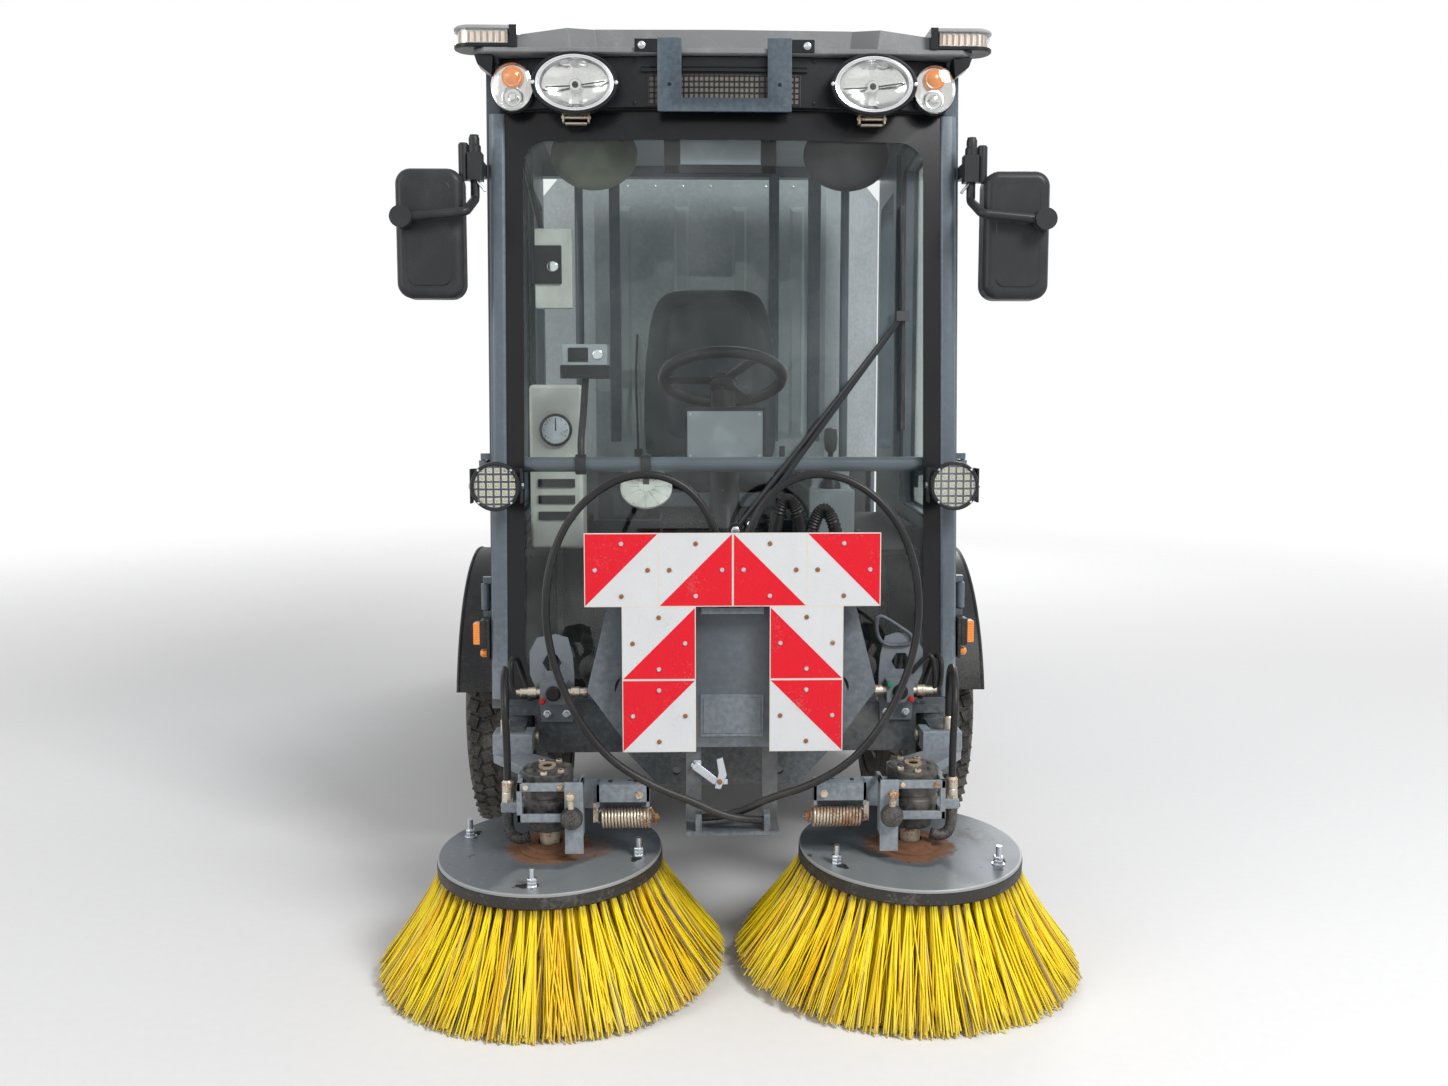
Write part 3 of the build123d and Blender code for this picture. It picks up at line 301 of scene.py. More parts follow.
def softened(node, finish, rounding=0.003, name=None, keep=None, flat=1.0):
    """A copy of a node's solid with its edges rounded. keep picks solids by their middle."""
    work = bmesh.new()
    work.from_mesh(frame["nodes"][node].data)
    bmesh.ops.remove_doubles(work, verts=work.verts, dist=1e-5)
    if keep:
        for group in islands(work):
            points = [v.co for face in group for v in face.verts]
            middle = Vector(((min(p[i] for p in points) + max(p[i] for p in points)) / 2 for i in range(3)))
            if not keep(middle):
                bmesh.ops.delete(work, geom=group, context="FACES")
    bmesh.ops.dissolve_limit(work, angle_limit=radians(flat), verts=work.verts, edges=work.edges)
    piece = made(name or node + "_shell", work, [finish], rounding)
    return settle(piece, body_of[node], slot_of[node], node)


class Shape:
    """Gathers the parts of one piece where they belong on the machine, then makes them one mesh."""

    def __init__(self, name, *finishes):
        self.name, self.finishes, self.mesh, self.pen = name, finishes, bmesh.new(), 0

    def use(self, pen):
        """Chooses which of the piece's finishes the next parts get."""
        self.pen = pen
        return self

    def shell(self, rings, ends=True):
        """Joins rings of points, one after another, into a skin with flat ends."""
        rows = [[self.mesh.verts.new(point) for point in ring] for ring in rings]
        pairs = list(zip(rows, rows[1:]))
        if ends is None:
            pairs.append((rows[-1], rows[0]))
        faces = []
        for first, second in pairs:
            count = len(first)
            for k in range(count):
                after = (k + 1) % count
                faces.append(self.mesh.faces.new((first[k], first[after], second[after], second[k])))
        if ends:
            faces.append(self.mesh.faces.new(rows[0][::-1]))
            faces.append(self.mesh.faces.new(rows[-1]))
        bmesh.ops.recalc_face_normals(self.mesh, faces=faces)
        for face in faces:
            face.material_index = self.pen
        return self

    def box(self, low, high):
        """A block between two corners."""
        middle = (Vector(low) + Vector(high)) / 2
        half = (Vector(high) - Vector(low)) / 2
        corners = [(-1, -1), (1, -1), (1, 1), (-1, 1)]
        return self.shell(
            [[middle + Vector((a * half.x, b * half.y, c * half.z)) for a, b in corners] for c in (-1, 1)]
        )

    def block(self, low, high):
        """A block between two corners in millimetres."""
        return self.box([c / 1000 for c in low], [c / 1000 for c in high])

    def blocks(self, *rows):
        """Blocks in millimetres, each with the number of its finish and its two corners."""
        for pen, low, high in rows:
            self.use(pen).block(low, high)
        return self

    def slab(self, outline, out):
        """A flat outline given depth along a vector."""
        out = Vector(out)
        return self.shell([outline, [Vector(p) + out for p in outline]])

    def lathe(self, origin, axis, profile, sides=32, squeeze=(1, 1), whole=False):
        """Turns a profile of (radius, height) about an axis. squeeze makes the turns oval."""
        axis, up = Vector(axis).normalized(), Vector(UP)
        if abs(axis.dot(up)) > 0.95:
            up = Vector(LEFT)
        right = axis.cross(up).normalized()
        up = right.cross(axis)
        turns = [tau * k / sides for k in range(sides)]
        rings = []
        for radius, height in profile:
            base = Vector(origin) + axis * height
            wide, tall = right * radius * squeeze[0], up * radius * squeeze[1]
            rings.append([base + wide * cos(a) + tall * sin(a) for a in turns])
        return self.shell(rings, ends=None if whole else True)

    def turned(self, origin, axis, profile, *rest, **more):
        """Turns a profile that is in millimetres, or in thousandths where squeeze gives the radii."""
        return self.lathe(origin, axis, [(r / 1000, h / 1000) for r, h in profile], *rest, **more)

    def rod(self, start, end, radius, sides):
        """A round bar between two points."""
        along = Vector(end) - Vector(start)
        return self.lathe(start, along, [(radius, 0), (radius, along.length)], sides)

    def tube(self, points, radius, sides, whole=False):
        """A round bar along a line of points."""
        points = [Vector(p) for p in points]
        count = len(points)
        turns = [tau * k / sides for k in range(sides)]
        rings, side = [], None
        for k, point in enumerate(points):
            before = points[k - 1] if k or whole else point
            after = points[(k + 1) % count] if k < count - 1 or whole else point
            ahead = (after - before).normalized()
            if side is None:
                side = ahead.orthogonal().normalized()
            side = (side - ahead * side.dot(ahead)).normalized()
            other = ahead.cross(side)
            reach = radius[k] if isinstance(radius, list) else radius
            rings.append([point + (side * cos(a) + other * sin(a)) * reach for a in turns])
        return self.shell(rings, ends=None if whole else True)

    def bent(self, points, steps, radius, sides):
        """A round bar along a smooth line through points in millimetres."""
        points = [tuple(c / 1000 for c in point) for point in points]
        return self.tube(curve_points(points, steps), radius, sides)

    def flip(self, hand):
        """Mirrors what has been gathered across the machine where hand is -1."""
        if hand < 0:
            for vert in self.mesh.verts:
                vert.co.x = -vert.co.x
            bmesh.ops.reverse_faces(self.mesh, faces=self.mesh.faces)
        return self

    def done(
        self, body="chassis", slot="black_plastic", *nodes, rounding=0.0, turns=2, crease=31, mirror=False
    ):
        """Makes the piece, with its mirror image across the machine if it is asked for."""
        if mirror:
            copy = bmesh.ops.duplicate(
                self.mesh, geom=self.mesh.verts[:] + self.mesh.edges[:] + self.mesh.faces[:]
            )
            verts = [g for g in copy["geom"] if isinstance(g, bmesh.types.BMVert)]
            faces = [g for g in copy["geom"] if isinstance(g, bmesh.types.BMFace)]
            for vert in verts:
                vert.co.x = -vert.co.x
            bmesh.ops.reverse_faces(self.mesh, faces=faces)
        piece = made(self.name, self.mesh, self.finishes, rounding, turns, crease)
        return settle(piece, body, slot, *nodes)


def arc(middle_u, middle_v, radius, start, sweep, steps):
    """Points on an arc in a plane, its angles in degrees."""
    turns = [radians(start + sweep * k / steps) for k in range(steps + 1)]
    return [(middle_u + radius * cos(a), middle_v + radius * sin(a)) for a in turns]


def curve_points(points, steps=8, whole=False):
    """A smooth line through points, as a longer list of points."""
    points = [Vector(p) for p in points]
    count = len(points)
    line = []
    for k in range(count if whole else count - 1):
        p1, p2 = points[k], points[(k + 1) % count]
        p0 = points[k - 1] if k or whole else p1
        p3 = points[(k + 2) % count] if k < count - 2 or whole else p2
        for j in range(steps):
            t = j / steps
            square = (2 * p0 - 5 * p1 + 4 * p2 - p3) * t**2
            cube = (3 * p1 - p0 - 3 * p2 + p3) * t**3
            line.append(0.5 * (2 * p1 + (p2 - p0) * t + square + cube))
    return line if whole else line + [points[-1]]


def painted(name, colour, dust=0.35, roughness=0.42, worn=0.5, grain=420):
    """Sprayed paint on steel: orange peel, mottling, dust that thickens downwards and pale worn edges."""
    paint = Finish(name, Specular_IOR_Level=0.38)
    height = paint.axes()[2]
    cloud, fine = paint.noise(7, 6), paint.noise(90, 3)
    dark = tuple(c * 0.9 for c in colour)
    light = tuple(min(1, c * 1.08 + 0.002) for c in colour)
    tone = paint.mix(paint.ease(cloud * 0.7 + fine * 0.3, 0.3, 0.7), dark, light)
    low = paint.ease(height, 1.1, 0.15)
    grime = paint.ease(cloud * 0.6 + fine * 0.4 + low * 0.25, 0.58, 0.84) * (low * 0.9 + 0.1) * dust
    tone = paint.mix(grime, tone, (0.3, 0.27, 0.23))
    bare = paint.node("NewGeometry", {}, {}, "Pointiness")
    rubbed = paint.ease(bare + (fine - 0.5) * 0.05, 0.535, 0.6) * worn
    tone = paint.mix(rubbed, tone, tuple(min(1, c * 2.2 + 0.1) for c in colour))
    gloss = grime * 0.35 + fine * 0.1 + (roughness - 0.05)
    paint.to(Base_Color=tone, Roughness=gloss)
    return paint.bump(paint.noise(grain, 2) * 0.7 + fine * 0.6, 0.0001)


steel_paint = painted("frame_paint", (0.066, 0.08, 0.094))
for node in ("front_frame", "front_axle", "rear_frame", "rear_axle"):
    softened(node, steel_paint, 0.0025)

# ---------------------------------------------------------------- wheels and their guards
# Ribbed black tyres on pressed and welded steel rims with eight nuts, under rolled guards of black plastic.
# Small parts that repeat are stamped onto points, each with its own direction.


class ShapeTree:
    """A geometry node tree with named inputs, whose result is made real and given the input called Finish."""

    def __init__(self, name, **inputs):
        self.tree = bpy.data.node_groups.new(name, "GeometryNodeTree")
        face = self.tree.interface
        face.new_socket("Geometry", in_out="OUTPUT", socket_type="NodeSocketGeometry")
        for title, kind in inputs.items():
            face.new_socket(title, in_out="INPUT", socket_type="NodeSocket" + kind)
        self.given = self.tree.nodes.new("NodeGroupInput").outputs

    def node(self, kind, links, **settings):
        """Adds a node: its type, the values or links of its sockets, then its settings."""
        added = self.tree.nodes.new(kind)
        for key, value in settings.items():
            setattr(added, key, value)
        for key, value in links.items():
            if isinstance(value, bpy.types.NodeSocket):
                self.tree.links.new(value, added.inputs[key])
            else:
                added.inputs[key].default_value = value
        return added

    def attribute(self, name, kind):
        return self.node("GeometryNodeInputNamedAttribute", {"Name": name}, data_type=kind).outputs[0]

    def ended(self, geometry):
        """Realises the instances, sets their material and closes the tree."""
        real = self.node("GeometryNodeRealizeInstances", {"Geometry": geometry})
        links = {"Geometry": real.outputs[0], "Material": self.given["Finish"]}
        coloured = self.node("GeometryNodeSetMaterial", links)
        self.tree.links.new(coloured.outputs[0], self.tree.nodes.new("NodeGroupOutput").inputs[0])
        return self.tree


def stamp_tree():
    """A node tree that puts a small part on every point, upright along out and turned towards along."""
    work = ShapeTree(
        "stamped_parts", Points="Geometry", Part="Object", Finish="Material", Size="Float",
        Unevenness="Float", Seed="Int"
    )
    node, given = work.node, work.given
    upright = node(
        "FunctionNodeAlignRotationToVector", {"Vector": work.attribute("out", "FLOAT_VECTOR")}, axis="Z"
    )
    links = {"Rotation": upright.outputs[0], "Vector": work.attribute("along", "FLOAT_VECTOR")}
    turned = node("FunctionNodeAlignRotationToVector", links, axis="X", pivot_axis="Z")
    part = node("GeometryNodeObjectInfo", {"Object": given["Part"]}, transform_space="ORIGINAL")
    less = node("ShaderNodeMath", {0: given["Size"], 1: given["Unevenness"]}, operation="SUBTRACT")
    more = node("ShaderNodeMath", {0: given["Size"], 1: given["Unevenness"]}, operation="ADD")
    links = {2: less.outputs[0], 3: more.outputs[0], "Seed": given["Seed"]}
    size = node("FunctionNodeRandomValue", links, data_type="FLOAT")
    links = {
        "Points": given["Points"], "Instance": part.outputs["Geometry"], "Rotation": turned.outputs[0],
        "Scale": size.outputs[1],
    }
    return work.ended(node("GeometryNodeInstanceOnPoints", links).outputs[0])


stamping = stamp_tree()


def set_inputs(modifier, **values):
    """Sets a node modifier's inputs by the identifiers of their sockets."""
    for item in modifier.node_group.interface.items_tree:
        if item.in_out == "INPUT" and item.name.replace(" ", "_") in values:
            modifier[item.identifier] = values[item.name.replace(" ", "_")]


def cloud_of(name, places):
    """A mesh of loose points that carry the directions out and along."""
    mesh = bpy.data.meshes.new(name)
    mesh.from_pydata([tuple(place[0]) for place in places], [], [])
    for title, column in (("out", 1), ("along", 2)):
        attribute = mesh.attributes.new(title, "FLOAT_VECTOR", "POINT")
        attribute.data.foreach_set("vector", [c for place in places for c in place[column]])
    return linked(name, mesh)


def stamped(name, part, places, finish, body="chassis", slot="black_plastic"):
    """Puts copies of a small Shape at places, each a point, the way out and the way along, as one mesh."""
    part.name = name + "_part"
    one = made(part.name, part.mesh.copy(), [finish])
    piece = cloud_of(name, places)
    modifier = piece.modifiers.new("stamped", "NODES")
    modifier.node_group = stamping
    set_inputs(modifier, Part=one, Finish=finish.material, Size=1.0, Unevenness=0.0, Seed=1)
    baked(piece)
    bpy.data.objects.remove(one)
    return settle(piece, body, slot)


def hex_bolt(width, height, washer):
    """A hexagon head on a washer of a thickness in millimetres, about the origin and upright."""
    part = Shape("bolt")
    part.lathe((0, 0, -0.0005), UP, [(width * 0.95, 0), (width * 0.95, washer / 1000 + 0.0005)], 20)
    part.lathe(
        (0, 0, washer / 1000), UP,
        [(width * 0.56, 0), (width * 0.56, height * 0.8), (width * 0.46, height)], 6
    )
    return part


def metal(name, colour, roughness=0.35, rust=0.0, metallic=1.0):
    """Bare or plated metal: fine scratches, dull blooms and, where it is asked for, rust."""
    plate = Finish(name)
    cloud, fine = plate.noise(24, 5), plate.noise(260, 3)
    red = plate.ease(cloud * 0.6 + fine * 0.4, 0.62 - rust * 0.3, 0.74 - rust * 0.3) * (rust > 0)
    tone = plate.mix(fine, tuple(c * 0.8 for c in colour), colour)
    tone = plate.mix(red, tone, plate.mix(fine, (0.2, 0.075, 0.028), (0.34, 0.16, 0.07)))
    plate.to(
        Base_Color=tone, Roughness=cloud * 0.2 + red * 0.35 + (roughness - 0.1),
        Metallic=(1 - red) * metallic
    )
    return plate.bump(fine + red * cloud * 2, 0.0002)


def rubber(name, colour=(0.018, 0.018, 0.019), roughness=0.62, dust=0.25, grain=300):
    """Moulded rubber or plastic: fine grain, a grey bloom and dust."""
    skin = Finish(name, Specular_IOR_Level=0.26)
    cloud, fine = skin.noise(11, 5), skin.noise(grain, 2)
    bloom = skin.ease(cloud * 0.75 + fine * 0.25, 0.45, 0.75)
    tone = skin.mix(bloom, colour, tuple(c * 1.4 + 0.003 for c in colour))
    low = skin.ease(skin.axes()[2], 0.9, 0.0)
    dirt = skin.ease(cloud * 0.5 + fine * 0.5 + low * 0.2, 0.5, 0.8) * (low * 0.85 + 0.15) * dust
    tone = skin.mix(dirt, tone, (0.27, 0.25, 0.22))
    skin.to(Base_Color=tone, Roughness=bloom * 0.12 + dirt * 0.2 + (roughness - 0.08))
    return skin.bump(fine + cloud * 0.5, 0.00014)


zinc = metal("zinc_plate", (0.62, 0.66, 0.7), 0.3, 0.15)
rusty = metal("rusty_bolts", (0.42, 0.36, 0.3), 0.5, 0.9)
tyre_skin = rubber("tyre_rubber_skin", (0.02, 0.02, 0.021), 0.72, 0.55)
rim_coat = painted("rim_coat", (0.36, 0.37, 0.38), 0.5, 0.38)
guard_skin = rubber("guard_plastic", (0.02, 0.021, 0.023), 0.5, 0.5)
# radius and distance from the middle of the tyre, across its section
section = [
    (0.1905, -0.095), (0.208, -0.1085), (0.222, -0.113), (0.226, -0.1115), (0.24, -0.1155), (0.27, -0.1172),
    (0.3, -0.115), (0.318, -0.1105), (0.333, -0.1015), (0.34, -0.0885), (0.3425, -0.06)
]
section += [(0.343, 0.0)] + [(r, -w) for r, w in reversed(section)]
axle_spots = {"front": -0.59, "rear": 1.31}
axle_height, track_half = 0.35, 0.5325
for hand, side in SIDES:
    for axle, axle_y in axle_spots.items():
        wheel = f"wheel_{axle}_{side}"
        hub = Vector((hand * track_half, axle_y, axle_height))
        tyre = Shape(f"tyre_{axle}_{side}_casing", tyre_skin)
        tyre.lathe(hub, LEFT, section + [(0.1905, 0.0)], 96, whole=True)
        for ring, lift in ((0.232, 0.0022), (0.296, 0.0016)):
            for face in (-1, 1):
                tyre.lathe(
                    hub, (face, 0, 0), [(ring - 0.003, 0.112), (ring - 0.002, 0.1155 + lift),
                     (ring + 0.002, 0.1155 + lift), (ring + 0.003, 0.112)], 96, whole=True
                )
        tyre.done(wheel, "tyre_rubber", f"tyre_{axle}_{side}", crease=50)
        places = []
        for row, across in enumerate((-0.091, -0.058, -0.02, 0.02, 0.058, 0.091)):
            for k in range(54):
                turn = tau * (k + row * 0.37) / 54
                out = Vector((across * 1.6 * (abs(across) > 0.08), cos(turn), sin(turn)))
                radius = 0.3385 if abs(across) > 0.08 else 0.3425
                centre = hub + Vector((across, cos(turn) * radius, sin(turn) * radius))
                slant = 0.35 * (-1) ** row
                along = Vector((1, -sin(turn) * slant, cos(turn) * slant))
                places.append((centre, out.normalized(), along.normalized()))
        block = Shape("block")
        block.shell(
            [[(a * 0.0135 * s, b * 0.0145 * s, h) for a, b in ((-1, -1), (1, -1), (1, 1), (-1, 1))]
             for s, h in ((1.06, -0.004), (1.0, 0.0045), (0.9, 0.0065))]
        )
        stamped(f"tread_{axle}_{side}", block, places, tyre_skin, wheel, "tyre_rubber")
        softened(f"rim_{axle}_{side}", rim_coat, 0.0015)
        nuts = []
        for k in range(8):
            turn = tau * (k + 0.5) / 8
            reach = Vector((hand * 0.0605, cos(turn) * 0.072, sin(turn) * 0.072))
            nuts.append((hub + reach, (hand, 0, 0), (0, cos(turn), sin(turn))))
        stamped(f"wheel_nuts_{axle}_{side}", hex_bolt(0.018, 0.016, 2), nuts, zinc, wheel, "rim_paint")
        cap = Shape(f"hub_cap_{axle}_{side}", guard_skin)
        cap.turned(
            hub + Vector((hand * 0.066, 0, 0)), (hand, 0, 0),
            [(46, 0), (46, 14), (40, 22), (28, 26), (0.1, 27)], 32
        )
        cap.done(wheel, rounding=0.0012)
for axle, axle_y in axle_spots.items():
    node = axle + "_fenders"
    softened(node, guard_skin, 0.0018)
    beads = Shape(node + "_beads", guard_skin)
    for edge_x in (0.428, 0.652):
        ring = arc(axle_y, axle_height, 0.398, 12, 156, 40)
        beads.tube([(edge_x, y, z) for y, z in ring], 0.0052, 8)
    beads.done(body_of[node], mirror=True)

# ---------------------------------------------------------------- roof, lamp panel and lamps
# The roof is one moulding of grey glass-fibre with a raised crown. A black panel under its front edge carries
# the headlamps, the position lamps and an air grille; a bent steel strap for a mast hangs over the panel.
roof_skin = rubber("roof_moulding", (0.19, 0.197, 0.2), 0.55, 0.5, 180)
roof = Shape("cab_roof_moulding", roof_skin)
low, high = 1.913, 1.9255
edge = [(-0.53, -1.2), (0.53, -1.2), (0.556, -1.174), (0.556, 0.2), (-0.556, 0.2), (-0.556, -1.174)]
roof.shell(
    [[(x * s, (y + 0.5) * s - 0.5, z) for x, y in edge]
     for s, z in ((0.994, low), (1.0, low + 0.003), (1.0, high), (0.995, high + 0.001))]
)
foot = [
    (-0.545, -1.188), (-0.34, -1.188), (-0.285, -1.13), (0.285, -1.13), (0.34, -1.188), (0.545, -1.188),
    (0.545, 0.19), (-0.545, 0.19)
]
crest = [(-0.54, -1.181, 1.945), (-0.348, -1.181, 1.972), (-0.292, -1.122, 1.984), (0.292, -1.122, 1.984),
         (0.348, -1.181, 1.972), (0.54, -1.181, 1.945), (0.54, 0.18, 1.945), (-0.54, 0.18, 1.945)]
tail = [(0.29, 0.176, 1.984), (-0.29, 0.176, 1.984)]
verts = [
    roof.mesh.verts.new(p)
    for p in [(x, y, high) for x, y in foot] + crest + tail + [(0, -1.118, 1.9872), (0, 0.17, 1.9872)]
]
count = len(foot)
faces = [(k, (k + 1) % count, (k + 1) % count + count, k + count) for k in range(count) if k != 6]
faces += [
    (6, 7, 15, 17, 19, 16, 14), tuple(range(count - 1, -1, -1)), (8, 9, 10, 17, 15), (12, 13, 14, 16, 11),
    (10, 18, 19, 17), (18, 11, 16, 19)
]
made_faces = [roof.mesh.faces.new([verts[k] for k in f]) for f in faces]
made_faces.append(roof.mesh.faces.new([verts[k] for k in (10, 11, 18)]))
bmesh.ops.recalc_face_normals(roof.mesh, faces=made_faces)
roof.done("chassis", "roof_plastic", "cab_roof", rounding=0.004, turns=3, crease=12)
gutter = Shape("roof_gutters", roof_skin)
for x in (-0.44, -0.15, 0.15, 0.44):
    rise = 1.945 + (0.54 - abs(x)) / 0.25 * 0.039 if abs(x) > 0.3 else 1.9845
    gutter.tube(
        [(x, -0.95, rise - 0.004), (x, -0.93, rise), (x, 0.08, rise), (x, 0.1, rise - 0.004)], 0.0022, 8
    )
gutter.done(slot="roof_plastic", crease=60)

# Near-black finish: painted shade on flat dark discs and thin boxes laid where holes, slots and recesses are
# not cut; it is also the real black of a gauge's needle and marks.
shade_and_gauge_black = Finish("dark_hollow", Roughness=0.9)
shade_and_gauge_black.to(Base_Color=shade_and_gauge_black.mix(shade_and_gauge_black.noise(60, 2), (0.004, 0.004, 0.005), (0.015, 0.012, 0.01)))
cream = metal("stained_zinc", (0.66, 0.58, 0.46), 0.42, 0.42, 0.75)
dome = [
    (0.0046, -0.0004), (0.0046, 0.0006), (0.0036, 0.0019), (0.0017, 0.0024), (0.0014, 0.0015),
    (0.0002, 0.0015)
]
panel_black = rubber("panel_plastic", (0.01, 0.012, 0.014), 0.38, 0.12)
blue_paint = painted("strap_paint", (0.034, 0.05, 0.066), 0.2, 0.36, 0.5)
softened("lamp_panel", panel_black, 0.0025, name="lamp_panel_moulding", keep=lambda m: m.y > -1.195)
softened("lamp_panel", blue_paint, 0.0022, name="mast_strap", keep=lambda m: m.y < -1.195)


screen_half, screen_bow = 0.505, 0.042


def panel_y(x):
    """The lamp panel's front face, bowed as the windscreen is."""
    return -1.14395 - screen_bow * (1 - (x / screen_half) ** 2)


tabs = Shape("strap_tabs", panel_black, zinc)
for x in (0.149, -0.149):
    far = x + copysign(0.05, x)
    tabs.use(0).box((min(x, far), -1.206, 1.9165), (max(x, far), -1.2005, 1.944))
    tabs.use(1).turned(
        (x + copysign(0.034, x), -1.2058, 1.93), FORWARD,
        [(8.5, 0), (8.5, 2), (6.2, 2), (6.2, 5), (4, 6.5)], 20
    )
    tabs.use(0).turned((copysign(0.122, x), -1.2082, 1.846), FORWARD, [(4.8, -1), (4.8, 0.6)], 16)
tabs.done(rounding=0.0008)
lip = Shape("panel_lip", panel_black)
lip.shell(
    [[(x, panel_y(x) + dy, z)
      for dy, z in ((-0.0008, 1.878), (-0.0065, 1.878), (-0.0065, 1.8845), (-0.0008, 1.89))]
     for x in [-0.185 + 0.037 * k for k in range(11)]]
)
lip.done(rounding=0.0006)
filter_felt = rubber("filter_felt", (0.15, 0.135, 0.12), 0.75, 0.6, 60)
recess = Shape("grille_recess", filter_felt)
recess.shell(
    [[(x, panel_y(x) + dy, z)
      for dy, z in ((0.001, 1.806), (-0.0012, 1.806), (-0.0012, 1.872), (0.001, 1.872))]
     for x in [-0.17 + 0.034 * k for k in range(11)]]
)
recess.done()
bar = Shape("bar").block((-1.1, -32.5, -1), (1.1, 32.5, 2.4))
rows = Shape("row").block((-6.2, -1.1, -1), (6.2, 1.1, 2.2))
uprights = [
    ((x, panel_y(x) - 0.001, 1.839), FORWARD, LEFT)
    for x in [-0.168 + 0.0112 * k for k in range(31)]
]
levels = [
    ((x, panel_y(x) - 0.001, 1.8085 + 0.0122 * row), FORWARD, LEFT)
    for x in [-0.1624 + 0.0112 * k for k in range(30)] for row in range(6)
]
stamped("grille_uprights", bar, uprights, panel_black)
stamped("grille_rows", rows, levels, panel_black)
panel_screws = [
    ((x, panel_y(x), z), FORWARD, LEFT) for x in (-0.49, -0.2, 0.2, 0.49) for z in (1.812, 1.903)
]
stamped("panel_screws", Shape("screw").lathe((0, 0, 0), UP, dome, 14), panel_screws, panel_black)


def clear(name, tint, haze):
    """Clear glass or plastic: what is behind shows through, less at a slant and where there is dust."""
    pane = Finish(name, Metallic=1.0, Roughness=0.02)
    cloud, speck = pane.noise(5, 5), pane.noise(130, 2)
    film_of_dust = pane.ease(cloud, 0.35, 0.8) * haze + pane.ease(speck, 0.7, 0.74) * haze * 2.0
    pane.to(Base_Color=pane.mix(film_of_dust, (0.96, 0.98, 0.98), (0.5, 0.5, 0.48)))
    through = pane.tree.nodes.new("ShaderNodeBsdfTransparent")
    through.inputs[0].default_value = (*tint, 1)
    mixer = pane.tree.nodes.new("ShaderNodeMixShader")
    slant = pane.node("LayerWeight", {}, {"Blend": 0.5}, "Facing")
    pane.tree.links.new((slant**5 * 0.9 + film_of_dust + 0.016).socket, mixer.inputs[0])
    pane.tree.links.new(through.outputs[0], mixer.inputs[1])
    pane.tree.links.new(pane.shader.outputs[0], mixer.inputs[2])
    end = next(node for node in pane.tree.nodes if node.bl_idname == "ShaderNodeOutputMaterial")
    pane.tree.links.new(mixer.outputs[0], end.inputs[0])
    return pane


